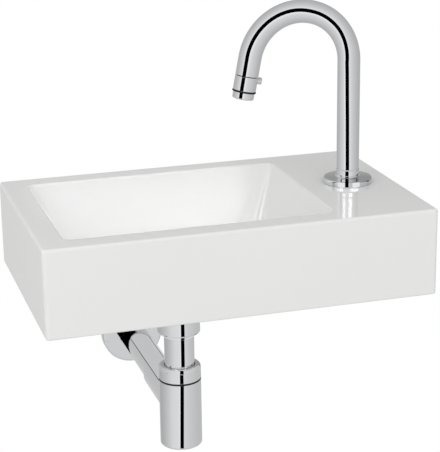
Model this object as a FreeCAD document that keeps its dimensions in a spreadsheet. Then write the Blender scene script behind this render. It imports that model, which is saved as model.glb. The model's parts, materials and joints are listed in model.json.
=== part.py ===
# Wall-hung ceramic hand basin with a swan-neck pillar tap, a grid waste and a bottle trap.
# Millimetres. Origin on the wall, midway between the two wall fixings: +Z up, +X right, -Y out into the room.
import FreeCAD
import Part
import Sketcher
import os
import re

# Driving sizes. Heights of the tap are above the deck, the basin's flat top.
SIZES = {
    # Ceramic shell
    "basin_width": 400,
    "basin_depth": 250,
    "basin_height": 90,
    "outer_wall": 10,
    "deck_thickness": 12,
    "corner_round": 4,
    "edge_round": 3,
    "foot_round": 2,
    # Bowl, on the left of the deck, and the tap's platform on its right
    "rim_margin": 26,
    "platform_width": 101,
    "bowl_depth": 72,
    "bowl_wall": 9,
    "floor_thickness": 12,
    "side_draft": 0.3,
    "end_draft": 0.15,
    "rim_corner": 8,
    "floor_corner": 30,
    "floor_round": 12,
    "dish_radius": 70,
    "dish_drop": 5,
    "drain_radius": 23,
    # Wall fixings, through the back wall
    "fixing_drop": 58,
    "fixing_spacing": 200,
    "fixing_radius": 6.5,
    # Grid waste in the drain
    "waste_flange_radius": 32,
    "waste_flange_thickness": 3.5,
    "waste_gasket_thickness": 1.5,
    "waste_tail_radius": 20.9,
    "waste_bore": 17.5,
    "waste_tail_length": 62.5,
    "strainer_radius": 25,
    "strainer_thickness": 1.8,
    "strainer_hole_radius": 2.4,
    "strainer_inner_row": 9,
    "strainer_outer_row": 17.5,
    "bridge_width": 8,
    "bridge_height": 5,
    "bridge_drop": 14,
    "screw_radius": 2.5,
    "screw_head_radius": 4.8,
    "screw_head_height": 1.4,
    "under_gasket_thickness": 3,
    "under_gasket_radius": 29,
    "back_nut_corner": 29.5,
    "back_nut_height": 9,
    # Trap, under the waste
    "coupling_radius": 22.5,
    "coupling_height": 26,
    "coupling_floor": 9,
    "coupling_cone": 6.5,
    "coupling_seal_thickness": 3,
    "collar_thickness": 2.5,
    "waste_tube_radius": 16,
    "waste_tube_wall": 1,
    "inlet_length": 114,
    "inlet_shown": 30.5,
    "bottle_radius": 22.5,
    "bottle_height": 74.5,
    "bottle_wall": 2,
    "bottle_floor": 3,
    "bottle_foot_round": 2.5,
    "neck_wall": 2,
    "neck_height": 9,
    "cap_height": 15,
    "cap_plate": 3.5,
    "cap_round": 3,
    "cap_hole_gap": 1.7,
    "cap_seal_lip": 2.3,
    "bottle_ring_thickness": 1.9,
    "bottle_ring_proud": 0.3,
    "branch_height": 45,
    "branch_wall": 2.4,
    "branch_reach": 89,
    "outlet_seal_length": 4,
    "outlet_seal_thickness": 1.3,
    "outlet_length": 181,
    "outlet_grip": 15,
    "outlet_insert": 25,
    "outlet_mark_width": 0.8,
    "outlet_mark_depth": 0.2,
    # Wall rosette on the outlet tube
    "rosette_radius": 36,
    "rosette_depth": 12,
    "rosette_skin": 1.4,
    "rosette_round": 2.4,
    "rosette_stand": 27,
    "grip_thickness": 2.8,
    "grip_length": 6,
    # Tap base
    "tap_inset": 48.5,
    "tap_hole_radius": 17.5,
    "flange_radius": 26,
    "flange_thickness": 5.8,
    "flange_round": 2,
    "flange_crown": 0.8,
    "collar_height": 8.6,
    "collar_radius": 12.2,
    "collar_foot_round": 1.2,
    "flange_gasket_inner": 18,
    "flange_gasket_outer": 23,
    "flange_gasket_thickness": 1.5,
    "shank_radius": 10.45,
    "shank_drop": 62,
    "supply_thread": 22,
    "thread_runout": 3,
    "runout_depth": 0.9,
    "shank_thread_engaged": 9,
    "neck_radius": 9,
    "tap_neck_rise": 52,
    "tap_bore": 4.5,
    "neck_ring_rise": 45,
    "neck_ring_section": 1.15,
    "clamp_washer_radius": 24,
    "clamp_washer_thickness": 2,
    "rubber_washer_thickness": 3,
    "tap_nut_corner": 16.5,
    "tap_nut_height": 9,
    "nut_chamfer": 1.6,
    # Spout
    "spout_radius": 11.85,
    "spout_wall": 1.5,
    "bend_rise": 130.3,
    "bend_radius": 54.3,
    "bend_angle": 169,
    "tip_run": 18.5,
    "swivel_washer_thickness": 0.7,
    "swivel_bush_length": 22,
    "swivel_half_angle": 60,
    "grub_radius": 2,
    "grub_rise": 27,
    "grub_bite": 2,
    # Valve and outlet in the spout's tip
    "valve_plug_length": 12,
    "stem_radius": 7.5,
    "web_thickness": 2.5,
    "port_radius": 1.5,
    "valve_ring_section": 0.9,
    "ring_length": 15.1,
    "pocket_depth": 2,
    "pocket_angle": 50,
    "lever_radius": 3.6,
    "lever_out": 5,
    "lever_root": 2.5,
    "lever_step": 4.4,
    "tip_seal_thickness": 1.4,
    "tip_seal_proud": 0.2,
    "aerator_radius": 11.1,
    "aerator_length": 7.2,
    "aerator_round": 1.2,
    "aerator_wall": 1.6,
    "aerator_seat": 2.6,
    "insert_thickness": 2,
    "insert_hole_radius": 0.9,
    "insert_inner_row": 3.9,
    "insert_outer_row": 7.3,
    # Clearances
    "thread_gap": 0.1,
    "slide_gap": 0.06,
    "swivel_gap": 0.05,
    "seat_gap": 0.2,
}

STRAINER_INNER_HOLES = 6
STRAINER_OUTER_HOLES = 14
INSERT_INNER_HOLES = 6
INSERT_OUTER_HOLES = 12
RIGHT_ANGLE = 90
TOLERANCE = 0.01

# Places that several pieces share, worked out from the driving sizes.
PLACES = {
    "deck": "fixing_drop",
    "bowl_length": "(basin_width - rim_margin - platform_width)",
    "bowl_x": "(rim_margin + bowl_length / 2 - basin_width / 2)",
    "middle_y": "(-basin_depth / 2)",
    "bowl_width": "(basin_depth - 2 * rim_margin)",
    "bowl_floor": "(deck - bowl_depth)",
    "seat": "(bowl_floor - dish_drop)",
    "tail_end": "(seat + waste_gasket_thickness - waste_tail_length)",
    "coupling_foot": "(tail_end - coupling_seal_thickness - collar_thickness - coupling_floor)",
    "cap_foot": "(coupling_foot - inlet_shown - cap_height)",
    "bottle_foot": "(cap_foot - bottle_ring_thickness - bottle_height)",
    "neck_radius_out": "(bottle_radius - neck_wall)",
    "branch_z": "(bottle_foot + branch_height)",
    "branch_bore": "(waste_tube_radius + slide_gap)",
    "branch_radius": "(branch_bore + branch_wall)",
    "mouth_y": "(middle_y + branch_reach)",
    "rosette_y": "(mouth_y - outlet_grip + outlet_length - rosette_stand)",
    "tap_x": "(basin_width / 2 - tap_inset)",
    "collar_top": "(flange_thickness + collar_height)",
    "spout_foot": "(collar_top + swivel_washer_thickness + seat_gap)",
    "spout_bore": "(spout_radius - spout_wall)",
    "tip_x": "(tap_x - bend_radius * (1 - cos(bend_angle * 1deg)))",
    "tip_z": "(deck + bend_rise + bend_radius * sin(bend_angle * 1deg))",
    "ring_start": "(tip_run + seat_gap)",
    "ring_end": "(ring_start + ring_length)",
    "tip_seal_start": "(ring_end + seat_gap)",
    "aerator_start": "(tip_seal_start + tip_seal_thickness)",
    "stem_end": "(aerator_start + aerator_length - aerator_seat)",
    "valve_ring_step": "(valve_ring_section + seat_gap)",
    "upper_valve_ring": "(ring_start + valve_ring_step)",
    "lower_valve_ring": "(ring_end - valve_ring_step)",
    "valve_middle": "(ring_start + ring_length / 2)",
    "port_step": "(web_thickness / 2 + port_radius + seat_gap)",
    "valve_ring_centre": "(stem_radius - valve_ring_section / 3)",
    "valve_groove": "(valve_ring_centre - valve_ring_section - seat_gap / 2)",
    "valve_ring_groove": "(valve_ring_centre + valve_ring_section + seat_gap)",
}

os.makedirs("parts", exist_ok=True)
doc = FreeCAD.newDocument("hand_basin")
sheet = doc.addObject("Spreadsheet::Sheet", "size")
for row, (alias, size_value) in enumerate(SIZES.items(), start=1):
    sheet.set(f"A{row}", alias)
    sheet.set(f"B{row}", str(size_value))
    sheet.setAlias(f"B{row}", alias)
doc.recompute()


def linked(text):
    # Spells a short formula out with the sheet's cells.
    def spell(match):
        word = match.group(0)
        if word in PLACES:
            return linked(PLACES[word])
        if word in SIZES:
            return f"size.{word}"
        return word
    return re.sub(r"[a-z][a-z_]*", spell, str(text))


def number(text):
    return float(sheet.evalExpression(linked(text)))


def bind(thing, **formulas):
    for path, text in formulas.items():
        thing.setExpression(path.replace("__", "."), linked(text))


def place(thing, x="0", y="0", z="0", axis=None, turn=None):
    if axis is not None:
        thing.Placement = FreeCAD.Placement(FreeCAD.Vector(), FreeCAD.Rotation(axis, number(turn)))
        bind(thing, Placement__Rotation__Angle=f"({turn}) * 1deg")
    bind(thing, Placement__Base__x=x, Placement__Base__y=y, Placement__Base__z=z)


def new_body(label):
    body = doc.addObject("PartDesign::Body", label)
    body.Label = label
    return body


def origin_part(body, role):
    return next(item for item in body.Origin.OriginFeatures if item.Role == role)


def new_sketch(body, name, plane, x="0", y="0", z="0"):
    # x, y and z move the sketch along its own axes.
    sketch = body.newObject("Sketcher::SketchObject", f"{body.Label}_{name}")
    sketch.AttachmentSupport = [(origin_part(body, plane), "")]
    sketch.MapMode = "FlatFace"
    bind(sketch, AttachmentOffset__Base__x=x, AttachmentOffset__Base__y=y, AttachmentOffset__Base__z=z)
    return sketch


def hold(sketch, kind, *where, name, text):
    index = sketch.addConstraint(Sketcher.Constraint(kind, *where, number(text)))
    sketch.renameConstraint(index, name)
    sketch.setExpression(f"Constraints.{name}", linked(text))


def draw_outline(sketch, corners):
    # A closed outline of straight lines; each corner is held by its two coordinates.
    points = [FreeCAD.Vector(number(across), number(up), 0) for across, up in corners]
    count = len(points)
    for index in range(count):
        sketch.addGeometry(Part.LineSegment(points[index], points[(index + 1) % count]), False)
    for index, (across, up) in enumerate(corners):
        sketch.addConstraint(Sketcher.Constraint("Coincident", index, 2, (index + 1) % count, 1))
        hold(sketch, "DistanceX", -1, 1, index, 1, name=f"across{index}", text=across)
        hold(sketch, "DistanceY", -1, 1, index, 1, name=f"up{index}", text=up)


def draw_circle(sketch, radius, x="0", y="0"):
    centre = FreeCAD.Vector(number(x), number(y), 0)
    index = sketch.addGeometry(Part.Circle(centre, FreeCAD.Vector(0, 0, 1), number(radius)), False)
    hold(sketch, "Radius", index, name=f"radius{index}", text=radius)
    hold(sketch, "DistanceX", -1, 1, index, 3, name=f"across{index}", text=x)
    hold(sketch, "DistanceY", -1, 1, index, 3, name=f"up{index}", text=y)


def draw_rounded_rectangle(sketch, length, width, radius):
    # Four sides and four corner arcs, centred on the sketch's origin.
    half_x = number(length) / 2
    half_y = number(width) / 2
    round_r = number(radius)
    signs = [(1, -1), (1, 1), (-1, 1), (-1, -1)]
    sides = []
    arcs = []
    quarter = FreeCAD.Units.parseQuantity("90 deg").getValueAs("rad").Value
    for turn, (sign_x, sign_y) in enumerate(signs):
        centre = FreeCAD.Vector(sign_x * (half_x - round_r), sign_y * (half_y - round_r), 0)
        circle = Part.Circle(centre, FreeCAD.Vector(0, 0, 1), round_r)
        arcs.append(Part.ArcOfCircle(circle, (turn - 1) * quarter, turn * quarter))
    for turn in range(4):
        sides.append(Part.LineSegment(arcs[turn].EndPoint, arcs[(turn + 1) % 4].StartPoint))
    for turn in range(4):
        sketch.addGeometry(arcs[turn], False)
        sketch.addGeometry(sides[turn], False)
    for turn in range(4):
        arc = 2 * turn
        side = arc + 1
        next_arc = (arc + 2) % 8
        sketch.addConstraint(Sketcher.Constraint("Tangent", arc, 2, side, 1))
        sketch.addConstraint(Sketcher.Constraint("Tangent", side, 2, next_arc, 1))
        upright = turn % 2 == 0
        sketch.addConstraint(Sketcher.Constraint("Vertical" if upright else "Horizontal", side))
        if turn > 0:
            sketch.addConstraint(Sketcher.Constraint("Equal", 0, arc))
    sketch.addConstraint(Sketcher.Constraint("Symmetric", 0, 3, 4, 3, -1, 1))
    hold(sketch, "Radius", 0, name="corner", text=radius)
    hold(sketch, "DistanceX", 6, 3, 0, 3, name="length", text=f"{length} - 2 * ({radius})")
    hold(sketch, "DistanceY", 0, 3, 2, 3, name="width", text=f"{width} - 2 * ({radius})")


def add_feature(body, kind, name, sketch, **formulas):
    feature = body.newObject(f"PartDesign::{kind}", f"{body.Label}_{name}")
    feature.Profile = sketch
    bind(feature, **formulas)
    return feature


def add_cut(body, kind, name, sketch, upward=False, **formulas):
    # Every cut has to take material away.
    doc.recompute()
    before = body.Shape.Volume
    feature = add_feature(body, kind, name, sketch, **formulas)
    feature.Reversed = upward
    doc.recompute()
    if body.Shape.Volume > before - TOLERANCE:
        raise RuntimeError(f"{body.Label}: {name} cuts nothing")
    return feature


def add_turned_cut(body, name, sketch, angle="360", middle=False):
    doc.recompute()
    before = body.Shape.Volume
    feature = add_feature(body, "Groove", name, sketch, Angle=angle)
    feature.ReferenceAxis = (sketch, ["V_Axis"])
    feature.Midplane = middle
    doc.recompute()
    if body.Shape.Volume > before - TOLERANCE:
        raise RuntimeError(f"{body.Label}: {name} cuts nothing")
    return feature


def add_hole(body, name, plane, radius, depth, x="0", y="0", z="0", upward=False):
    sketch = new_sketch(body, f"{name}_outline", plane, x, y, z)
    draw_circle(sketch, radius)
    return add_cut(body, "Pocket", name, sketch, upward, Length=depth)


def round_edges(body, kind, name, radius, wanted):
    doc.recompute()
    base = body.Tip
    edges = base.Shape.Edges
    names = [f"Edge{index}" for index, edge in enumerate(edges, start=1) if wanted(edge)]
    if not names:
        raise RuntimeError(f"{body.Label}: no edge for {name}")
    feature = body.newObject(f"PartDesign::{kind}", f"{body.Label}_{name}")
    feature.Base = (base, names)
    bind(feature, **{"Radius" if kind == "Fillet" else "Size": radius})
    doc.recompute()
    return feature


def at_height(edge, text):
    level = number(text)
    return all(abs(vertex.Z - level) < TOLERANCE for vertex in edge.Vertexes)


def ring_edge(radius, height):
    # Picks the round edge of a turned piece with this radius, at this height in the piece.
    def wanted(edge):
        curve = edge.Curve
        round_edge = isinstance(curve, Part.Circle) and abs(curve.Radius - number(radius)) < TOLERANCE
        return round_edge and at_height(edge, height)
    return wanted


def turned(label, *corners):
    # A piece made on the lathe: (radius, height) corners turned about its own Z axis.
    body = new_body(label)
    sketch = new_sketch(body, "profile", "XZ_Plane")
    draw_outline(sketch, corners)
    spin = add_feature(body, "Revolution", "turned", sketch, Angle="360")
    spin.ReferenceAxis = (sketch, ["V_Axis"])
    doc.recompute()
    return body


def washer(label, inner, outer, thickness):
    return turned(label, (inner, "0"), (outer, "0"), (outer, thickness), (inner, thickness))


def add_hole_ring(body, name, row, radius, depth, count):
    hole = add_hole(body, name, "XY_Plane", radius, depth, x=row, z=depth)
    ring = body.newObject("PartDesign::PolarPattern", f"{body.Label}_{name}_ring")
    ring.Originals = [hole]
    ring.Axis = (origin_part(body, "Z_Axis"), [""])
    ring.Angle = 360
    ring.Occurrences = count
    body.Tip = ring
    doc.recompute()


def hex_nut(label, corner, height, bore):
    # A hexagon with its lower corners turned off at 45 degrees.
    prism = doc.addObject("Part::Prism", f"{label}_blank")
    prism.Polygon = 6
    bind(prism, Circumradius=corner, Height=height)
    hole = doc.addObject("Part::Cylinder", f"{label}_bore")
    bind(hole, Radius=bore, Height=height)
    crown = doc.addObject("Part::Cone", f"{label}_crown")
    low_radius = f"{corner} - nut_chamfer"
    bind(crown, Radius1=low_radius, Radius2=f"{low_radius} + {height}", Height=height)
    turned_blank = doc.addObject("Part::Common", f"{label}_turned")
    turned_blank.Base = prism
    turned_blank.Tool = crown
    nut = doc.addObject("Part::Cut", label)
    nut.Label = label
    nut.Base = turned_blank
    nut.Tool = hole
    return nut


def torus(label, radius, section):
    ring = doc.addObject("Part::Torus", label)
    ring.Label = label
    bind(ring, Radius1=radius, Radius2=section)
    return ring


def on_bowl_axis(piece, z):
    place(piece, "bowl_x", "middle_y", z)
    return piece


def on_tap_axis(piece, z):
    place(piece, "tap_x", "middle_y", z)
    return piece


def on_tip_axis(piece):
    # The piece's own Z axis runs out along the spout's tip, from the end of the bend.
    place(piece, "tip_x", "middle_y", "tip_z", FreeCAD.Vector(0, -1, 0), "bend_angle")
    return piece


def toward_wall(piece, y):
    # The piece's own Z axis runs along the outlet tube to the wall.
    place(piece, "bowl_x", y, "branch_z", FreeCAD.Vector(-1, 0, 0), RIGHT_ANGLE)
    return piece


def bowl_section(body, name, depth, wall):
    # One level of the drafted bowl, at a depth under the deck.
    sketch = new_sketch(body, name, "XY_Plane", "bowl_x", "middle_y", f"deck - ({depth})")
    length = f"(bowl_length - 2 * side_draft * ({depth}) + 2 * ({wall}))"
    width = f"(bowl_width - 2 * end_draft * ({depth}) + 2 * ({wall}))"
    corner = f"(rim_corner + (floor_corner - rim_corner) * ({depth}) / bowl_depth + ({wall}))"
    draw_rounded_rectangle(sketch, length, width, corner)
    return sketch


def add_bowl_loft(body, kind, name, top, bottom, wall):
    upper = bowl_section(body, f"{name}_top", top, wall)
    lower = bowl_section(body, f"{name}_bottom", bottom, wall)
    loft = body.newObject(f"PartDesign::{kind}", f"{body.Label}_{name}")
    loft.Profile = upper
    loft.Sections = [lower]
    loft.Ruled = True
    doc.recompute()


def on_bowl_rim(edge):
    middle = edge.CenterOfMass
    within_x = abs(middle.x - number("bowl_x")) < number("bowl_length / 2 + seat_gap")
    within_y = abs(middle.y - number("middle_y")) < number("bowl_width / 2 + seat_gap")
    return within_x and within_y and at_height(edge, "deck")


def make_basin():
    body = new_body("basin")
    foot = "deck - basin_height"
    block_outline = new_sketch(body, "outline", "XY_Plane", "0", "middle_y", foot)
    draw_rounded_rectangle(block_outline, "basin_width", "basin_depth", "corner_round")
    add_feature(body, "Pad", "block", block_outline, Length="basin_height")
    round_edges(body, "Fillet", "deck_edge", "edge_round", lambda edge: at_height(edge, "deck"))
    hollow = new_sketch(body, "hollow_outline", "XY_Plane", "0", "middle_y", foot)
    inner_length = "(basin_width - 2 * outer_wall)"
    inner_width = "(basin_depth - 2 * outer_wall)"
    draw_rounded_rectangle(hollow, inner_length, inner_width, "corner_round")
    add_cut(body, "Pocket", "hollow", hollow, True, Length="basin_height - deck_thickness")
    round_edges(body, "Fillet", "foot_edge", "foot_round", lambda edge: at_height(edge, foot))
    shell_depth = "bowl_depth + floor_thickness"
    add_bowl_loft(body, "AdditiveLoft", "bowl_shell", "deck_thickness / 2", shell_depth, "bowl_wall")
    shell_floor = "bowl_floor - floor_thickness"
    round_edges(body, "Fillet", "shell_edge", "floor_round", lambda edge: at_height(edge, shell_floor))
    add_bowl_loft(body, "SubtractiveLoft", "bowl", "0", "bowl_depth", "0")
    round_edges(body, "Fillet", "floor_edge", "floor_round", lambda edge: at_height(edge, "bowl_floor"))
    round_edges(body, "Fillet", "rim_edge", "edge_round", on_bowl_rim)
    dish = new_sketch(body, "dish_outline", "XZ_Plane", "bowl_x", "0", "-middle_y")
    rim_of_seat = "waste_flange_radius + seat_gap"
    draw_outline(dish, [
        ("0", "bowl_floor"), ("dish_radius", "bowl_floor"), (rim_of_seat, "seat"), ("0", "seat")])
    add_turned_cut(body, "dish", dish)
    add_hole(body, "drain", "XY_Plane", "drain_radius", "floor_thickness", "bowl_x", "middle_y", "bowl_floor")
    add_hole(body, "tap_hole", "XY_Plane", "tap_hole_radius", "deck_thickness", "tap_x", "middle_y", "deck")
    for name, x in (("left_fixing", "-fixing_spacing / 2"), ("right_fixing", "fixing_spacing / 2")):
        add_hole(body, name, "XZ_Plane", "fixing_radius", "outer_wall", x, upward=True)
    return body


def make_waste():
    gasket_edge = "waste_flange_radius - seat_gap"
    top_gasket = washer("waste_top_gasket", "drain_radius", gasket_edge, "waste_gasket_thickness")
    on_bowl_axis(top_gasket, "seat")
    tail = "waste_tail_length"
    lip = "(waste_tail_length + waste_flange_thickness)"
    ledge = "(waste_tail_length + waste_flange_thickness - strainer_thickness)"
    recess = "(strainer_radius + thread_gap)"
    body = turned(
        "waste_body",
        ("waste_bore", "0"), ("waste_tail_radius", "0"), ("waste_tail_radius", tail),
        ("waste_flange_radius", tail), ("waste_flange_radius", lip), (recess, lip), (recess, ledge),
        ("waste_bore", ledge))
    flange_edge = ring_edge("waste_flange_radius", lip)
    round_edges(body, "Fillet", "flange_edge", "waste_flange_thickness / 2", flange_edge)
    bridge_level = "waste_tail_length - bridge_drop"
    bridge = new_sketch(body, "bridge_outline", "XY_Plane", z=bridge_level)
    reach = "(waste_bore + (waste_tail_radius - waste_bore) / 2)"
    half = "bridge_width / 2"
    draw_outline(bridge, [
        (f"-{reach}", f"-{half}"), (reach, f"-{half}"), (reach, half), (f"-{reach}", half)])
    add_feature(body, "Pad", "bridge", bridge, Length="bridge_height")
    screw_bore = "screw_radius + thread_gap"
    add_hole(body, "screw_hole", "XY_Plane", screw_bore, "bridge_height", z=bridge_level, upward=True)
    on_bowl_axis(body, "tail_end")

    strainer = turned(
        "waste_strainer",
        ("screw_radius + seat_gap", "0"), ("strainer_radius", "0"), ("strainer_radius", "strainer_thickness"),
        ("screw_radius + seat_gap", "strainer_thickness"))
    add_hole_ring(strainer, "inner_row", "strainer_inner_row", "strainer_hole_radius", "strainer_thickness",
                  STRAINER_INNER_HOLES)
    add_hole_ring(strainer, "outer_row", "strainer_outer_row", "strainer_hole_radius", "strainer_thickness",
                  STRAINER_OUTER_HOLES)
    on_bowl_axis(strainer, f"tail_end + {ledge}")

    shaft = "(bridge_drop + waste_flange_thickness)"
    head = f"({shaft} + screw_head_height)"
    screw = turned(
        "waste_screw",
        ("0", "0"), ("screw_radius", "0"), ("screw_radius", shaft), ("screw_head_radius", shaft),
        ("screw_head_radius - screw_head_height / 2", head), ("0", head))
    on_bowl_axis(screw, f"tail_end + {bridge_level}")

    under_gasket = washer("waste_under_gasket", "waste_tail_radius + seat_gap", "under_gasket_radius",
                          "under_gasket_thickness")
    gasket_foot = "bowl_floor - floor_thickness - under_gasket_thickness"
    on_bowl_axis(under_gasket, gasket_foot)
    nut = hex_nut("waste_back_nut", "back_nut_corner", "back_nut_height", "waste_tail_radius + thread_gap")
    on_bowl_axis(nut, f"{gasket_foot} - back_nut_height")
    return [top_gasket, body, strainer, screw, under_gasket, nut]


def make_coupling():
    collar = "(waste_tail_radius - thread_gap)"
    seal = washer("trap_coupling_seal", "waste_bore", collar, "coupling_seal_thickness")
    on_bowl_axis(seal, "tail_end - coupling_seal_thickness")

    bore = "(waste_tube_radius - waste_tube_wall)"
    under_collar = "(inlet_length - collar_thickness)"
    tube = turned(
        "trap_inlet_tube",
        (bore, "0"), ("waste_tube_radius", "0"), ("waste_tube_radius", under_collar), (collar, under_collar),
        (collar, "inlet_length"), (bore, "inlet_length"))
    on_bowl_axis(tube, "tail_end - coupling_seal_thickness - inlet_length")

    hole = "(waste_tube_radius + seat_gap)"
    thread = "(waste_tail_radius + thread_gap)"
    nut = turned(
        "trap_coupling_nut",
        (hole, "0"), (f"{hole} + collar_thickness / 3", "0"), ("coupling_radius", "coupling_cone"),
        ("coupling_radius", "coupling_height"), (thread, "coupling_height"), (thread, "coupling_floor"),
        (hole, "coupling_floor"))
    on_bowl_axis(nut, "coupling_foot")
    return [seal, tube, nut]


def make_bottle():
    neck = "(neck_radius_out - thread_gap)"
    neck_bore = "(neck_radius_out - thread_gap - neck_wall)"
    neck_top = "(bottle_height + bottle_ring_thickness + neck_height)"
    inside = "(bottle_radius - bottle_wall)"
    body = turned(
        "trap_bottle",
        ("0", "0"), ("bottle_radius", "0"), ("bottle_radius", "bottle_height"), (neck, "bottle_height"),
        (neck, neck_top), ("0", neck_top))
    round_edges(body, "Fillet", "foot_edge", "bottle_foot_round", ring_edge("bottle_radius", "0"))
    branch = new_sketch(body, "branch_outline", "XZ_Plane", y="branch_height")
    draw_circle(branch, "branch_radius")
    pad = add_feature(body, "Pad", "branch", branch, Length="branch_reach")
    pad.Reversed = True
    cavity = new_sketch(body, "cavity_outline", "XZ_Plane")
    shoulder = "(bottle_height - bottle_wall)"
    draw_outline(cavity, [("0", "bottle_floor"), (inside, "bottle_floor"), (inside, shoulder),
                          (neck_bore, shoulder), (neck_bore, neck_top), ("0", neck_top)])
    add_turned_cut(body, "cavity", cavity)
    add_hole(body, "branch_bore", "XZ_Plane", "branch_bore", "branch_reach", y="branch_height")
    seat_radius = "branch_bore + outlet_seal_thickness"
    add_hole(body, "seal_seat", "XZ_Plane", seat_radius, "outlet_seal_length", y="branch_height",
             z="outlet_seal_length - branch_reach")
    on_bowl_axis(body, "bottle_foot")

    ring_edge_radius = "bottle_radius + bottle_ring_proud"
    ring = washer("trap_gasket_ring", "neck_radius_out", ring_edge_radius, "bottle_ring_thickness")
    on_bowl_axis(ring, "bottle_foot + bottle_height")

    under_plate = "(cap_height - cap_plate)"
    cap_hole = "(waste_tube_radius + cap_hole_gap)"
    cap = turned(
        "trap_cap",
        ("neck_radius_out", "0"), ("bottle_radius", "0"), ("bottle_radius", "cap_height"),
        (cap_hole, "cap_height"), (cap_hole, under_plate), ("neck_radius_out", under_plate))
    round_edges(cap, "Fillet", "top_edge", "cap_round", ring_edge("bottle_radius", "cap_height"))
    on_bowl_axis(cap, "cap_foot")

    seal_height = f"({under_plate} - neck_height)"
    seal_bore = "(waste_tube_radius + slide_gap)"
    lip = f"({seal_height} + cap_seal_lip)"
    seal = turned(
        "trap_cap_seal",
        (seal_bore, "0"), ("neck_radius_out - seat_gap", "0"), ("neck_radius_out - seat_gap", seal_height),
        (f"{cap_hole} - seat_gap", seal_height), (f"{cap_hole} - seat_gap", lip), (seal_bore, lip))
    on_bowl_axis(seal, "cap_foot + neck_height")
    return [body, ring, cap, seal]


def make_outlet():
    seal_edge = "branch_bore + outlet_seal_thickness - slide_gap"
    seal = washer("outlet_seal", "branch_bore", seal_edge, "outlet_seal_length")
    toward_wall(seal, "mouth_y - outlet_seal_length")

    # A fine groove marks how far the tube's free end goes into the wall's waste socket.
    bore = "(waste_tube_radius - waste_tube_wall)"
    mark_radius = "(waste_tube_radius - outlet_mark_depth)"
    mark_end = "(outlet_length - outlet_insert)"
    mark_start = f"({mark_end} - outlet_mark_width)"
    tube = turned(
        "outlet_tube",
        (bore, "0"), ("waste_tube_radius", "0"), ("waste_tube_radius", mark_start), (mark_radius, mark_start),
        (mark_radius, mark_end), ("waste_tube_radius", mark_end), ("waste_tube_radius", "outlet_length"),
        (bore, "outlet_length"))
    toward_wall(tube, "mouth_y - outlet_grip")

    hole = "(waste_tube_radius + seat_gap)"
    cup = "(waste_tube_radius + grip_thickness)"
    cup_end = "(rosette_skin + grip_length)"
    rosette = turned(
        "wall_rosette",
        (hole, "0"), ("rosette_radius", "0"), ("rosette_radius", "rosette_depth"),
        ("rosette_radius - rosette_skin", "rosette_depth"), ("rosette_radius - rosette_skin", "rosette_skin"),
        (f"{cup} + rosette_skin", "rosette_skin"), (f"{cup} + rosette_skin", cup_end), (cup, cup_end),
        (cup, "rosette_skin"), (hole, "rosette_skin"))
    round_edges(rosette, "Fillet", "front_edge", "rosette_round", ring_edge("rosette_radius", "0"))
    toward_wall(rosette, "rosette_y - rosette_depth")
    grip = washer("rosette_grip_ring", "waste_tube_radius + slide_gap", f"{cup} - thread_gap", "grip_length")
    toward_wall(grip, "rosette_y - rosette_depth + rosette_skin")
    return [seal, tube, rosette, grip]


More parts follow.
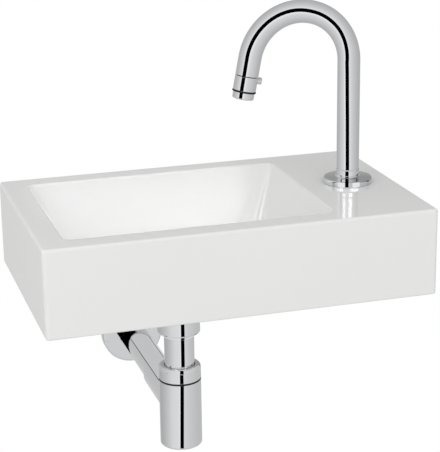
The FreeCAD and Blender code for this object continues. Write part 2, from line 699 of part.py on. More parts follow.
def make_tap_base():
    thread = "(shank_radius + thread_gap)"
    neck_hole = "(neck_radius + seat_gap)"
    collar_foot = "(flange_thickness + flange_crown)"
    flange = turned(
        "tap_flange",
        (thread, "0"), ("flange_gasket_inner", "0"), ("flange_gasket_inner", "flange_gasket_thickness"),
        ("flange_gasket_outer", "flange_gasket_thickness"), ("flange_gasket_outer", "0"),
        ("flange_radius", "0"), ("flange_radius", "flange_thickness"), ("collar_radius", collar_foot),
        ("collar_radius", "collar_top"), (neck_hole, "collar_top"),
        (neck_hole, "shank_thread_engaged"), (thread, "shank_thread_engaged"))
    rim_edge = ring_edge("flange_radius", "flange_thickness")
    round_edges(flange, "Fillet", "rim_edge", "flange_round", rim_edge)
    foot_edge = ring_edge("collar_radius", collar_foot)
    round_edges(flange, "Fillet", "foot_edge", "collar_foot_round", foot_edge)
    on_tap_axis(flange, "deck")
    gasket = washer("tap_flange_gasket", "flange_gasket_inner + seat_gap", "flange_gasket_outer - seat_gap",
                    "flange_gasket_thickness")
    on_tap_axis(gasket, "deck")

    runout = "(shank_radius - runout_depth)"
    thread_top = "(shank_drop + shank_thread_engaged)"
    neck_top = "(shank_drop + tap_neck_rise)"
    ring_level = "(shank_drop + neck_ring_rise)"
    ring_half = "(neck_ring_section + seat_gap)"
    ring_floor = "(spout_bore - 2 * neck_ring_section - 2 * seat_gap)"
    shank = turned(
        "tap_shank",
        ("tap_bore", "0"), ("shank_radius", "0"), ("shank_radius", "supply_thread"),
        (runout, "supply_thread"), (runout, "supply_thread + thread_runout"),
        ("shank_radius", "supply_thread + thread_runout"), ("shank_radius", thread_top),
        ("neck_radius", thread_top),
        ("neck_radius", f"{ring_level} - {ring_half}"), (ring_floor, f"{ring_level} - {ring_half}"),
        (ring_floor, f"{ring_level} + {ring_half}"), ("neck_radius", f"{ring_level} + {ring_half}"),
        ("neck_radius", neck_top), ("tap_bore", neck_top))
    slot = new_sketch(shank, "stop_slot_outline", "YZ_Plane")
    slot_floor = "(neck_radius - grub_bite - seat_gap)"
    slot_half = "(grub_radius + seat_gap)"
    slot_level = "(shank_drop + grub_rise)"
    slot_mouth = "neck_radius + seat_gap"
    slot_low = f"{slot_level} - {slot_half}"
    slot_high = f"{slot_level} + {slot_half}"
    draw_outline(slot, [
        (slot_floor, slot_low), (slot_mouth, slot_low), (slot_mouth, slot_high), (slot_floor, slot_high)])
    slot_angle = f"2 * swivel_half_angle + 2 * asin({slot_half} / {slot_floor}) / 1deg"
    add_turned_cut(shank, "stop_slot", slot, slot_angle, middle=True)
    on_tap_axis(shank, "deck - shank_drop")
    ring = torus("neck_o_ring", "spout_bore - neck_ring_section - seat_gap", "neck_ring_section")
    on_tap_axis(ring, "deck + neck_ring_rise")
    swivel_washer = washer("swivel_washer", neck_hole, "spout_radius - seat_gap", "swivel_washer_thickness")
    on_tap_axis(swivel_washer, "deck + collar_top")

    under = "deck - deck_thickness"
    hole = "shank_radius + seat_gap"
    rubber = washer("tap_rubber_washer", hole, "clamp_washer_radius", "rubber_washer_thickness")
    on_tap_axis(rubber, f"{under} - rubber_washer_thickness")
    clamp = washer("tap_clamp_washer", hole, "clamp_washer_radius", "clamp_washer_thickness")
    clamp_foot = f"{under} - rubber_washer_thickness - clamp_washer_thickness"
    on_tap_axis(clamp, clamp_foot)
    nut = hex_nut("tap_fixing_nut", "tap_nut_corner", "tap_nut_height", "shank_radius + thread_gap")
    on_tap_axis(nut, f"{clamp_foot} - tap_nut_height")
    return [flange, gasket, shank, ring, swivel_washer, rubber, clamp, nut]


def make_spout():
    body = new_body("spout_tube")
    spine = new_sketch(body, "spine", "XZ_Plane")
    start = FreeCAD.Vector(0, number("spout_foot"), 0)
    bend_start = FreeCAD.Vector(0, number("bend_rise"), 0)
    radius = number("bend_radius")
    angle = FreeCAD.Units.parseQuantity(f"{number('bend_angle')} deg").getValueAs("rad").Value
    centre = FreeCAD.Vector(-radius, number("bend_rise"), 0)
    arc = Part.ArcOfCircle(Part.Circle(centre, FreeCAD.Vector(0, 0, 1), radius), 0, angle)
    tip = FreeCAD.Vector(number("tip_x - tap_x - tip_run * sin(bend_angle * 1deg)"),
                         number("tip_z - deck + tip_run * cos(bend_angle * 1deg)"), 0)
    spine.addGeometry(Part.LineSegment(start, bend_start), False)
    spine.addGeometry(arc, False)
    spine.addGeometry(Part.LineSegment(arc.EndPoint, tip), False)
    spine.addConstraint(Sketcher.Constraint("Vertical", 0))
    spine.addConstraint(Sketcher.Constraint("Tangent", 0, 2, 1, 1))
    spine.addConstraint(Sketcher.Constraint("Tangent", 1, 2, 2, 1))
    hold(spine, "DistanceX", -1, 1, 0, 1, name="foot_x", text="0")
    hold(spine, "DistanceY", -1, 1, 0, 1, name="foot_z", text="spout_foot")
    hold(spine, "DistanceY", -1, 1, 0, 2, name="bend_rise", text="bend_rise")
    hold(spine, "Radius", 1, name="bend_radius", text="bend_radius")
    reach = "tap_x - tip_x + tip_run * sin(bend_angle * 1deg)"
    hold(spine, "DistanceX", 2, 2, -1, 1, name="reach", text=reach)
    hold(spine, "Distance", 2, name="tip_run", text="tip_run")
    section = new_sketch(body, "section", "XY_Plane", z="spout_foot")
    draw_circle(section, "spout_radius")
    draw_circle(section, "spout_bore")
    pipe = add_feature(body, "AdditivePipe", "tube", section)
    pipe.Spine = (spine, ["Edge1", "Edge2", "Edge3"])
    doc.recompute()
    add_hole(body, "grub_hole", "XZ_Plane", "grub_radius + slide_gap", "2 * spout_radius", y="grub_rise")
    on_tap_axis(body, "deck")

    bush = washer("swivel_bush", "neck_radius + swivel_gap", "spout_bore - swivel_gap", "swivel_bush_length")
    grub_hole = "grub_radius + slide_gap"
    add_hole(bush, "grub_hole", "XZ_Plane", grub_hole, "2 * spout_radius", y="grub_rise - spout_foot")
    on_tap_axis(bush, "deck + spout_foot")

    grub_length = "(spout_radius - seat_gap - neck_radius + grub_bite)"
    grub = turned(
        "spout_grub_screw",
        ("0", "0"), ("grub_radius", "0"), ("grub_radius", grub_length), ("0", grub_length))
    grub_y = "middle_y + neck_radius - grub_bite"
    place(grub, "tap_x", grub_y, "deck + grub_rise", FreeCAD.Vector(-1, 0, 0), RIGHT_ANGLE)
    return [body, bush, grub]


def make_valve():
    plug = "(spout_bore - swivel_gap)"
    plug_start = "(tip_run - valve_plug_length)"
    groove_half = "(valve_ring_section + seat_gap / 2)"
    groove_corners = []
    for level in ("upper_valve_ring", "lower_valve_ring"):
        low = f"{level} - {groove_half}"
        high = f"{level} + {groove_half}"
        groove_corners += [
            ("stem_radius", low), ("valve_groove", low), ("valve_groove", high), ("stem_radius", high)]
    core = turned(
        "valve_core",
        ("0", plug_start), (plug, plug_start), (plug, "tip_run"), ("stem_radius", "tip_run"), *groove_corners,
        ("stem_radius", "stem_end"), ("0", "stem_end"))
    upper_depth = f"valve_middle - web_thickness / 2 - {plug_start}"
    lower_depth = "stem_end - valve_middle - web_thickness / 2"
    add_hole(core, "upper_bore", "XY_Plane", "tap_bore", upper_depth, z=plug_start, upward=True)
    add_hole(core, "lower_bore", "XY_Plane", "tap_bore", lower_depth, z="stem_end")
    for name, side in (("upper_port", "-"), ("lower_port", "+")):
        add_hole(core, name, "XZ_Plane", "port_radius", "stem_radius", y=f"valve_middle {side} port_step")
    on_tip_axis(core)

    rings = doc.addObject("Part::Compound", "valve_o_rings")
    rings.Label = "valve_o_rings"
    links = []
    for name, level in (("valve_ring_upper", "upper_valve_ring"), ("valve_ring_lower", "lower_valve_ring")):
        ring = torus(name, "valve_ring_centre", "valve_ring_section")
        place(ring, z=level)
        links.append(ring)
    rings.Links = links
    on_tip_axis(rings)
    return [core, rings]


def make_control():
    bore = "(stem_radius + swivel_gap)"
    groove_half = "(valve_ring_section + seat_gap / 2)"
    upper = "upper_valve_ring"
    lower = "lower_valve_ring"
    body = turned(
        "control_ring",
        (bore, "ring_start"), ("spout_radius", "ring_start"), ("spout_radius", "ring_end"),
        (bore, "ring_end"),
        (bore, f"{lower} + {groove_half}"), ("valve_ring_groove", f"{lower} + {groove_half}"),
        ("valve_ring_groove", f"{lower} - {groove_half}"), (bore, f"{lower} - {groove_half}"),
        (bore, f"{upper} + {groove_half}"), ("valve_ring_groove", f"{upper} + {groove_half}"),
        ("valve_ring_groove", f"{upper} - {groove_half}"), (bore, f"{upper} - {groove_half}"))
    pocket = new_sketch(body, "pocket_outline", "XZ_Plane")
    pocket_half = "(port_step + port_radius)"
    pocket_floor = "(stem_radius + pocket_depth)"
    low = f"valve_middle - {pocket_half}"
    high = f"valve_middle + {pocket_half}"
    draw_outline(pocket, [
        ("stem_radius", low), (pocket_floor, low), (pocket_floor, high), ("stem_radius", high)])
    add_turned_cut(body, "pocket", pocket, "pocket_angle", middle=True)
    lever_level = "ring_start + lever_step"
    root = "(spout_radius - lever_root)"
    lever_hole = "lever_radius + slide_gap"
    add_hole(body, "lever_hole", "YZ_Plane", lever_hole, "spout_radius", y=lever_level, z=f"-{root}")
    on_tip_axis(body)

    length = "(lever_root + lever_out)"
    lever = turned("lever_pin", ("0", "0"), ("lever_radius", "0"), ("lever_radius", length), ("0", length))
    round_edges(lever, "Fillet", "end_edge", "lever_radius / 5", ring_edge("lever_radius", length))
    reach = f"{root} * cos(bend_angle * 1deg)"
    rise = f"{root} * sin(bend_angle * 1deg)"
    x = f"tip_x - ({lever_level}) * sin(bend_angle * 1deg) - {reach}"
    z = f"tip_z + ({lever_level}) * cos(bend_angle * 1deg) - {rise}"
    place(lever, x, "middle_y", z, FreeCAD.Vector(0, 1, 0), f"{RIGHT_ANGLE} + 180 - bend_angle")
    return [body, lever]


def make_aerator():
    stem_hole = "(stem_radius + thread_gap)"
    seal = washer("tip_seal_ring", stem_hole, "spout_radius + tip_seal_proud", "tip_seal_thickness")
    sketch = seal.Group[0]
    bind(sketch, AttachmentOffset__Base__y="tip_seal_start")
    on_tip_axis(seal)

    seat = "(stem_end + seat_gap)"
    mouth = "(aerator_start + aerator_length)"
    wide = "(aerator_radius - aerator_wall)"
    housing = turned(
        "aerator_housing",
        (stem_hole, "aerator_start"), ("aerator_radius", "aerator_start"), ("aerator_radius", mouth),
        (wide, mouth), (wide, seat), (stem_hole, seat))
    round_edges(housing, "Fillet", "mouth_edge", "aerator_round", ring_edge("aerator_radius", mouth))
    on_tip_axis(housing)

    insert_edge = f"{wide} - thread_gap"
    insert = turned(
        "aerator_insert",
        ("0", "0"), (insert_edge, "0"), (insert_edge, "insert_thickness"), ("0", "insert_thickness"))
    add_hole_ring(insert, "inner_row", "insert_inner_row", "insert_hole_radius", "insert_thickness",
                  INSERT_INNER_HOLES)
    add_hole_ring(insert, "outer_row", "insert_outer_row", "insert_hole_radius", "insert_thickness",
                  INSERT_OUTER_HOLES)
    insert_x = f"tip_x - {seat} * sin(bend_angle * 1deg)"
    insert_z = f"tip_z + {seat} * cos(bend_angle * 1deg)"
    place(insert, insert_x, "middle_y", insert_z, FreeCAD.Vector(0, -1, 0), "bend_angle")
    return [seal, housing, insert]


def check_document():
    doc.recompute()
    for thing in doc.Objects:
        if "Invalid" in thing.State or "Error" in thing.State:
            raise RuntimeError(f"{thing.Label} failed: {thing.State}")


def write_pieces(pieces):
    check_document()
    for piece in pieces:
        shape = piece.Shape
        if shape.isNull() or not shape.isValid():
            raise RuntimeError(f"{piece.Label} has no valid shape")
    for piece in pieces:
        piece.Shape.exportStep(f"parts/{piece.Label}.step")
        print(piece.Label, len(piece.Shape.Solids), round(piece.Shape.Volume))


write_pieces([
    make_basin(),
    *make_waste(),
    *make_coupling(),
    *make_bottle(),
    *make_outlet(),
    *make_tap_base(),
    *make_spout(),
    *make_valve(),
    *make_control(),
    *make_aerator(),
])
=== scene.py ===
import json
import math

import bmesh
import bpy
from mathutils import Matrix, Vector


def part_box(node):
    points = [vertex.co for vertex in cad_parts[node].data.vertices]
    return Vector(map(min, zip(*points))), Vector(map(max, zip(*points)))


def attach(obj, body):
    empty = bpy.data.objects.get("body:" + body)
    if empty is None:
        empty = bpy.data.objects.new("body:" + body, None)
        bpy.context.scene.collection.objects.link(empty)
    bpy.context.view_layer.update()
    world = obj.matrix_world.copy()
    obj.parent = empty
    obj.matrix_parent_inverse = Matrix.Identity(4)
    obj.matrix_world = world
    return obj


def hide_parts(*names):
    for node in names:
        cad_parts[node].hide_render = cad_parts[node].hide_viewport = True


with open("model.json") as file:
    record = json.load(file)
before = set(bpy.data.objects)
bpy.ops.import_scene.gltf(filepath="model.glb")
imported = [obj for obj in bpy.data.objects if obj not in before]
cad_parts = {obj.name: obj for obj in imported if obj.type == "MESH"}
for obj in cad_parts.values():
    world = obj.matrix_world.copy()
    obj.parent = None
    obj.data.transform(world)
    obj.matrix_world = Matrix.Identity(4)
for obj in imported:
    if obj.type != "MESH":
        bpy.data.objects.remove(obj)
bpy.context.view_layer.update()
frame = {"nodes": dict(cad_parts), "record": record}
nodes = frame["nodes"]
mm = 0.001
print("frame:", len(nodes), "nodes")


# shader and geometry trees

def addNode(tree, kind, settings=None, **inputs):
    # underscores in an input's name stand for spaces; a socket is linked, a value is set
    node = tree.nodes.new(kind)
    for name, value in (settings or {}).items():
        setattr(node, name, value)
    for name, value in inputs.items():
        setInput(tree, node.inputs[name.replace("_", " ")], value)
    return node


def setInput(tree, socket, value):
    if isinstance(value, bpy.types.NodeSocket):
        tree.links.new(value, socket)
    else:
        socket.default_value = value


def calculate(tree, operation, first, second=0.0, third=0.0):
    node = addNode(tree, "ShaderNodeMath", {"operation": operation})
    for socket, value in zip(node.inputs, (first, second, third)):
        setInput(tree, socket, value)
    return node.outputs[0]


def emptyMaterial(name):
    material = bpy.data.materials.new(name)
    material.use_nodes = True
    material.node_tree.nodes.clear()
    return material, material.node_tree


def surface(tree, **inputs):
    shader = addNode(tree, "ShaderNodeBsdfPrincipled", **inputs)
    addNode(tree, "ShaderNodeOutputMaterial", Surface=shader.outputs["BSDF"])
    return shader


def grain(tree, scale, detail=2.0, stretch=(1, 1, 1)):
    # noise in the piece's own frame, in features per metre
    coords = addNode(tree, "ShaderNodeTexCoord").outputs["Object"]
    stretched = addNode(tree, "ShaderNodeMapping", Vector=coords, Scale=stretch).outputs["Vector"]
    return addNode(tree, "ShaderNodeTexNoise", Vector=stretched, Scale=scale, Detail=detail).outputs["Fac"]


def between(tree, factor, low, high):
    spread = addNode(tree, "ShaderNodeMapRange", Value=factor, To_Min=low, To_Max=high)
    return spread.outputs["Result"]


def tinted(tree, factor, darker, lighter):
    mix = addNode(tree, "ShaderNodeMix", {"data_type": "RGBA"})
    setInput(tree, mix.inputs["Factor"], factor)
    setInput(tree, mix.inputs[6], (*darker, 1))
    setInput(tree, mix.inputs[7], (*lighter, 1))
    return mix.outputs[2]


def bumped(tree, height, strength, distance, under=None):
    bump = addNode(tree, "ShaderNodeBump", Strength=strength, Distance=distance, Height=height)
    if under is not None:
        setInput(tree, bump.inputs["Normal"], under)
    return bump.outputs["Normal"]


# finishes: a grain is (features per metre, detail, stretch if any), a bump is (strength, distance)

glaze = {"white": (0.87, 0.87, 0.865), "thin": (0.85, 0.85, 0.842), "bisque": (0.80, 0.78, 0.74),
         "gloss": (0.05, 0.09), "bisqueRoughness": 0.75, "edge": 0.6 * mm, "ior": 1.52,
         "cloud": (7, 3), "sheen": (35, 3), "wave": (14, 1), "waveBump": (0.25, 0.4 * mm),
         "skin": (420, 2), "skinBump": (0.06, 0.1 * mm)}


def makeGlaze():
    material, tree = emptyMaterial("glaze")
    coords = addNode(tree, "ShaderNodeTexCoord").outputs["Object"]
    place = addNode(tree, "ShaderNodeSeparateXYZ", Vector=coords)
    low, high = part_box("basin")
    onFoot = calculate(tree, "LESS_THAN", place.outputs["Z"], low.z + glaze["edge"])
    onBack = calculate(tree, "GREATER_THAN", place.outputs["Y"], high.y - glaze["edge"])
    bare = calculate(tree, "MAXIMUM", onFoot, onBack)
    white = tinted(tree, grain(tree, *glaze["cloud"]), glaze["thin"], glaze["white"])
    colour = addNode(tree, "ShaderNodeMix", {"data_type": "RGBA"})
    setInput(tree, colour.inputs["Factor"], bare)
    setInput(tree, colour.inputs[6], white)
    setInput(tree, colour.inputs[7], (*glaze["bisque"], 1))
    gloss = between(tree, grain(tree, *glaze["sheen"]), *glaze["gloss"])
    roughness = addNode(tree, "ShaderNodeMix", {"data_type": "FLOAT"})
    setInput(tree, roughness.inputs["Factor"], bare)
    setInput(tree, roughness.inputs[2], gloss)
    setInput(tree, roughness.inputs[3], glaze["bisqueRoughness"])
    wavy = bumped(tree, grain(tree, *glaze["wave"]), *glaze["waveBump"])
    skin = bumped(tree, grain(tree, *glaze["skin"]), *glaze["skinBump"], wavy)
    surface(tree, Base_Color=colour.outputs[2], Roughness=roughness.outputs[0], IOR=glaze["ior"],
            Normal=skin)
    return material


chrome = {"bright": (0.735, 0.74, 0.75), "dull": (0.70, 0.705, 0.715), "polish": (0.012, 0.03),
          "cloud": (45, 3), "wear": (120, 4), "ripple": (60, 1), "rippleBump": (0.01, 0.1 * mm)}


def makeChrome():
    material, tree = emptyMaterial("chrome")
    colour = tinted(tree, grain(tree, *chrome["cloud"]), chrome["dull"], chrome["bright"])
    polish = between(tree, grain(tree, *chrome["wear"]), *chrome["polish"])
    ripple = bumped(tree, grain(tree, *chrome["ripple"]), *chrome["rippleBump"])
    surface(tree, Base_Color=colour, Metallic=1.0, Roughness=polish, Normal=ripple)
    return material


rubber = {"black": (0.012, 0.012, 0.013), "bloom": (0.03, 0.03, 0.031), "roughness": (0.45, 0.65),
          "specular": 0.1, "cloud": (300, 3), "pores": (2500, 2), "poreBump": (0.2, 0.05 * mm)}


def makeRubber():
    material, tree = emptyMaterial("rubber")
    cloudy = grain(tree, *rubber["cloud"])
    colour = tinted(tree, cloudy, rubber["black"], rubber["bloom"])
    matt = between(tree, cloudy, *rubber["roughness"])
    pores = bumped(tree, grain(tree, *rubber["pores"]), *rubber["poreBump"])
    surface(tree, Base_Color=colour, Roughness=matt, Specular_IOR_Level=rubber["specular"], Normal=pores)
    return material


brass = {"bright": (0.76, 0.58, 0.28), "tarnish": (0.56, 0.40, 0.18), "roughness": (0.18, 0.34),
         "patches": (90, 4), "toolMarks": (700, 1, (0.1, 0.1, 4)), "toolBump": (0.15, 0.04 * mm)}


def makeBrass():
    material, tree = emptyMaterial("brass")
    patches = grain(tree, *brass["patches"])
    colour = tinted(tree, patches, brass["tarnish"], brass["bright"])
    dull = between(tree, patches, *brass["roughness"])
    toolMarks = bumped(tree, grain(tree, *brass["toolMarks"]), *brass["toolBump"])
    surface(tree, Base_Color=colour, Metallic=1.0, Roughness=dull, Normal=toolMarks)
    return material


# painted shade for the seam under the control ring: a near-black brass with a mottle
seamShade = {"dark": (0.02, 0.018, 0.015), "brown": (0.05, 0.042, 0.03), "roughness": (0.35, 0.6),
          "metallic": 0.3, "shadeMottle": (400, 3), "streaks": (900, 2), "streakBump": (0.1, 0.03 * mm)}


def makeSeamShadeBrass():
    # painted shade: the valve core, seen only as the dark seam under the control ring, is coloured near black
    # so that seam looks shaded
    material, tree = emptyMaterial("seamShadeBrass")
    shadeMottle = grain(tree, *seamShade["shadeMottle"])
    colour = tinted(tree, shadeMottle, seamShade["dark"], seamShade["brown"])
    seamRoughness = between(tree, shadeMottle, *seamShade["roughness"])
    streaks = bumped(tree, grain(tree, *seamShade["streaks"]), *seamShade["streakBump"])
    surface(tree, Base_Color=colour, Metallic=seamShade["metallic"], Roughness=seamRoughness, Normal=streaks)
    return material


acetal = {"white": (0.78, 0.78, 0.76), "shade": (0.72, 0.72, 0.70), "roughness": (0.32, 0.45),
          "cloud": (200, 2), "flow": (1200, 2), "flowBump": (0.1, 0.03 * mm)}


def makeAcetal():
    material, tree = emptyMaterial("acetal")
    cloudy = grain(tree, *acetal["cloud"])
    colour = tinted(tree, cloudy, acetal["shade"], acetal["white"])
    satin = between(tree, cloudy, *acetal["roughness"])
    flow = bumped(tree, grain(tree, *acetal["flow"]), *acetal["flowBump"])
    surface(tree, Base_Color=colour, Roughness=satin, Normal=flow)
    return material


steel = {"bright": (0.62, 0.62, 0.61), "dull": (0.48, 0.48, 0.47), "roughness": (0.22, 0.36),
         "brushing": (900, 2, (0.05, 1, 1)), "brushBump": (0.12, 0.03 * mm)}


def makeSteel():
    material, tree = emptyMaterial("steel")
    brushed = grain(tree, *steel["brushing"])
    colour = tinted(tree, brushed, steel["dull"], steel["bright"])
    satin = between(tree, brushed, *steel["roughness"])
    lines = bumped(tree, brushed, *steel["brushBump"])
    surface(tree, Base_Color=colour, Metallic=1.0, Roughness=satin, Normal=lines)
    return material


finishes = {"glaze": makeGlaze(), "chrome": makeChrome(), "rubber": makeRubber(), "brass": makeBrass(),
            "plastic": makeAcetal(), "steel": makeSteel()}
for subpart in frame["record"]["subparts"]:
    for materialSlot in nodes[subpart["node"]].material_slots:
        materialSlot.material = finishes[subpart["material_slot"]]
# the valve core takes the painted seam shade
nodes["valve_core"].material_slots[0].material = makeSeamShadeBrass()
print("finishes:", ", ".join(finishes))


# pieces that take the place of frame nodes

bodyOf = {node: body for body, members in frame["record"]["behaviour"]["bodies"].items() for node in members}
slotOf = {subpart["node"]: subpart["material_slot"] for subpart in frame["record"]["subparts"]}


def addObject(name, data):
    added = bpy.data.objects.new(name, data)
    bpy.context.scene.collection.objects.link(added)
    return added


def settle(piece):
    # the result of its modifiers becomes its plain mesh
    evaluated = piece.evaluated_get(bpy.context.evaluated_depsgraph_get())
    mesh = bpy.data.meshes.new_from_object(evaluated)
    piece.modifiers.clear()
    piece.data = mesh


def belongs(piece, node):
    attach(piece, bodyOf[node])


sharpAngle = math.radians(35)


def smoothShaded(mesh):
    mesh.shade_smooth()
    mesh.set_sharp_from_angle(angle=sharpAngle)


def evenNormals(piece):
    normals = piece.modifiers.new("normals", "WEIGHTED_NORMAL")
    normals.weight = turning["normalWeight"]
    normals.keep_sharp = True


def nodeMiddle(node):
    low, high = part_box(node)
    return (low + high) / 2


def onUpright(axis, height):
    # a point on an upright axis, at a height in millimetres
    return Vector((axis.x, axis.y, height * mm))


upwards = Vector((0, 0, 1))
tapAxis = nodeMiddle("tap_flange")
trapAxis = nodeMiddle("trap_cap")
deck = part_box("basin")[1].z


# turned pieces: a profile of (radius, height, corner round) in millimetres, spun about an axis

turning = {"sides": 192, "cornerSteps": 5, "merge": 0.001 * mm, "normalWeight": 100}
couplingNut = {"foot": -92.2,
               "profile": [(16.1, 0, 0), (16.7, 0, 0.2), (22.5, 4.7, 1.2), (22.5, 23.7, 0.6), (21, 23.7, 0),
                           (21, 6.7, 0), (16.1, 6.7, 0)]}
trapCap = {"foot": -140,
           "profile": [(20.5, 0, 0), (22.5, 0, 0.3), (22.5, 15, 3), (16.5, 15, 0.5), (16.5, 11.5, 0),
                       (20.5, 11.5, 0)]}
controlRing = {"profile": [(7.8, 19.05, 0), (11.85, 19.05, 0.2), (11.85, 33.75, 0.3), (7.8, 33.75, 0)]}
tipSeal = {"profile": [(7.8, 33.8, 0), (12.2, 33.8, 0.25), (12.2, 35.5, 0.25), (7.8, 35.5, 0)]}
gasketRing = {"foot": -141.9, "profile": [(18, 0, 0), (22.5, 0, 0.2), (22.5, 1.9, 0.2), (18, 1.9, 0)]}
tapFlange = {"profile": [(10.55, 0, 0), (18, 0, 0), (18, 1.5, 0), (23, 1.5, 0), (23, 0, 0), (25.2, 0, 0),
                         (25.2, 0.5, 0), (26, 0.5, 0.2), (26, 5.8, 2), (12.2, 6.6, 2), (12.2, 14.4, 0.3),
                         (9.2, 14.4, 0), (9.2, 9, 0), (10.55, 9, 0)]}
leverPin = {"alongTip": 22.55, "profile": [(0, 9.35, 0), (3.6, 9.35, 0), (3.6, 16.1, 0.35), (0, 16.1, 0)]}


def roundedProfile(corners):
    points = []
    for index, (radius, height, size) in enumerate(corners):
        corner = Vector((radius, height))
        if not size:
            points.append(corner)
            continue
        before = (Vector(corners[index - 1][:2]) - corner).normalized()
        after = (Vector(corners[(index + 1) % len(corners)][:2]) - corner).normalized()
        half = before.angle(after) / 2
        centre = corner + (before + after).normalized() * size / math.sin(half)
        start = corner + before * size / math.tan(half) - centre
        end = corner + after * size / math.tan(half) - centre
        sweep = math.atan2(start.x * end.y - start.y * end.x, start.dot(end))
        for step in range(turning["cornerSteps"] + 1):
            turn = sweep * step / turning["cornerSteps"]
            points.append(centre + Matrix.Rotation(turn, 2) @ start)
    return points


def turnedPiece(node, corners, foot, along):
    profile = roundedProfile(corners)
    across = along.orthogonal().normalized()
    beside = along.cross(across)
    points, faces, count = [], [], len(profile)
    for side in range(turning["sides"]):
        turn = 2 * math.pi * side / turning["sides"]
        outward = math.cos(turn) * across + math.sin(turn) * beside
        points += [foot + (radius * outward + height * along) * mm for radius, height in profile]
        start, following = side * count, (side + 1) % turning["sides"] * count
        for index in range(count):
            after = (index + 1) % count
            faces.append((start + index, following + index, following + after, start + after))
    mesh = bpy.data.meshes.new(node + "Turned")
    mesh.from_pydata(points, [], faces)
    work = bmesh.new()
    work.from_mesh(mesh)
    bmesh.ops.remove_doubles(work, verts=work.verts, dist=turning["merge"])
    bmesh.ops.recalc_face_normals(work, faces=work.faces)
    work.to_mesh(mesh)
    work.free()
    smoothShaded(mesh)
    mesh.materials.append(finishes[slotOf[node]])
    piece = addObject(node + "Turned", mesh)
    evenNormals(piece)
    settle(piece)
    belongs(piece, node)
    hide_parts(node)


# spout: a tube swept along its swan neck by a geometry tree

spoutTube = {"radius": 11.85 * mm, "wall": 1.5 * mm, "bendRadius": 54.3 * mm, "bendAngle": 169,
             "tipRun": 18.25 * mm, "rings": 260, "sides": 128, "edge": 0.25 * mm, "edgeSteps": 3,
             "edgeAngle": 50, "screwHole": 2.06 * mm, "screwHoleDepth": 8 * mm, "screwHoleSides": 48}
spoutLow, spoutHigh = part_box("spout_tube")
bendStart = spoutHigh.z - spoutTube["bendRadius"] - spoutTube["radius"]
bendAngle = math.radians(spoutTube["bendAngle"])
bendCentre = Vector((tapAxis.x - spoutTube["bendRadius"], tapAxis.y, bendStart))
tipAxis = Vector((-math.sin(bendAngle), 0, math.cos(bendAngle)))
tipStart = bendCentre + spoutTube["bendRadius"] * Vector((math.cos(bendAngle), 0, math.sin(bendAngle)))
leverAxis = Vector((-tipAxis.z, 0, tipAxis.x))


def newTree(name, sizes):
    tree = bpy.data.node_groups.new(name, "GeometryNodeTree")
    tree.interface.new_socket("Geometry", in_out="OUTPUT", socket_type="NodeSocketGeometry")
    for label, kind in sizes.items():
        tree.interface.new_socket(label, in_out="INPUT", socket_type="NodeSocket" + kind)
    tree.interface.new_socket("Finish", in_out="INPUT", socket_type="NodeSocketMaterial")
    return tree, addNode(tree, "NodeGroupInput").outputs


def endTree(tree, geometry, finish):
    smooth = addNode(tree, "GeometryNodeSetShadeSmooth", Geometry=geometry).outputs[0]
    realized = addNode(tree, "GeometryNodeRealizeInstances", Geometry=smooth).outputs[0]
    finished = addNode(tree, "GeometryNodeSetMaterial", Geometry=realized, Material=finish).outputs[0]
    addNode(tree, "NodeGroupOutput", Geometry=finished)


def grownPiece(name, tree, values):
    # an empty object with the tree on it; its inputs are set before it is first evaluated
    piece = addObject(name, bpy.data.meshes.new(name))
    modifier = piece.modifiers.new("tree", "NODES")
    modifier.node_group = tree
    for socket in tree.interface.items_tree:
        if socket.in_out == "INPUT":
            modifier[socket.identifier] = values[socket.name]
    return piece


def makeSweptTube():
    tree, sizes = newTree("sweptTube", {
        "Rise": "Float", "Bend Radius": "Float", "Bend Angle": "Float", "Tip Run": "Float",
        "Radius": "Float", "Rings": "Int", "Sides": "Int", "Place": "Vector"})
    rise, bendRadius = sizes["Rise"], sizes["Bend Radius"]
    angle, tipRun = sizes["Bend Angle"], sizes["Tip Run"]
    arc = calculate(tree, "MULTIPLY", bendRadius, angle)
    throughBend = calculate(tree, "ADD", rise, arc)
    length = calculate(tree, "ADD", throughBend, tipRun)
    share = addNode(tree, "GeometryNodeSplineParameter").outputs["Factor"]
    travelled = calculate(tree, "MULTIPLY", share, length)
    straight = calculate(tree, "MINIMUM", travelled, rise)
    inBend = calculate(tree, "MAXIMUM", calculate(tree, "SUBTRACT", travelled, rise), 0.0)
    turned = calculate(tree, "MINIMUM", calculate(tree, "DIVIDE", inBend, bendRadius), angle)
    beyond = calculate(tree, "MAXIMUM", calculate(tree, "SUBTRACT", travelled, throughBend), 0.0)
    sine, cosine = calculate(tree, "SINE", turned), calculate(tree, "COSINE", turned)
    sideways = calculate(tree, "MULTIPLY", bendRadius, calculate(tree, "SUBTRACT", cosine, 1.0))
    sideways = calculate(tree, "SUBTRACT", sideways, calculate(tree, "MULTIPLY", beyond, sine))
    height = calculate(tree, "ADD", straight, calculate(tree, "MULTIPLY", bendRadius, sine))
    height = calculate(tree, "ADD", height, calculate(tree, "MULTIPLY", beyond, cosine))
    point = addNode(tree, "ShaderNodeCombineXYZ", X=sideways, Z=height).outputs[0]
    line = addNode(tree, "GeometryNodeCurvePrimitiveLine").outputs[0]
    stations = addNode(tree, "GeometryNodeResampleCurve", Curve=line, Count=sizes["Rings"]).outputs[0]
    path = addNode(tree, "GeometryNodeSetPosition", Geometry=stations, Position=point, Offset=sizes["Place"])
    circle = addNode(tree, "GeometryNodeCurvePrimitiveCircle", Resolution=sizes["Sides"],
                     Radius=sizes["Radius"])
    tube = addNode(tree, "GeometryNodeCurveToMesh", Curve=path.outputs[0], Profile_Curve=circle.outputs[0])
    endTree(tree, tube.outputs[0], sizes["Finish"])
    return tree


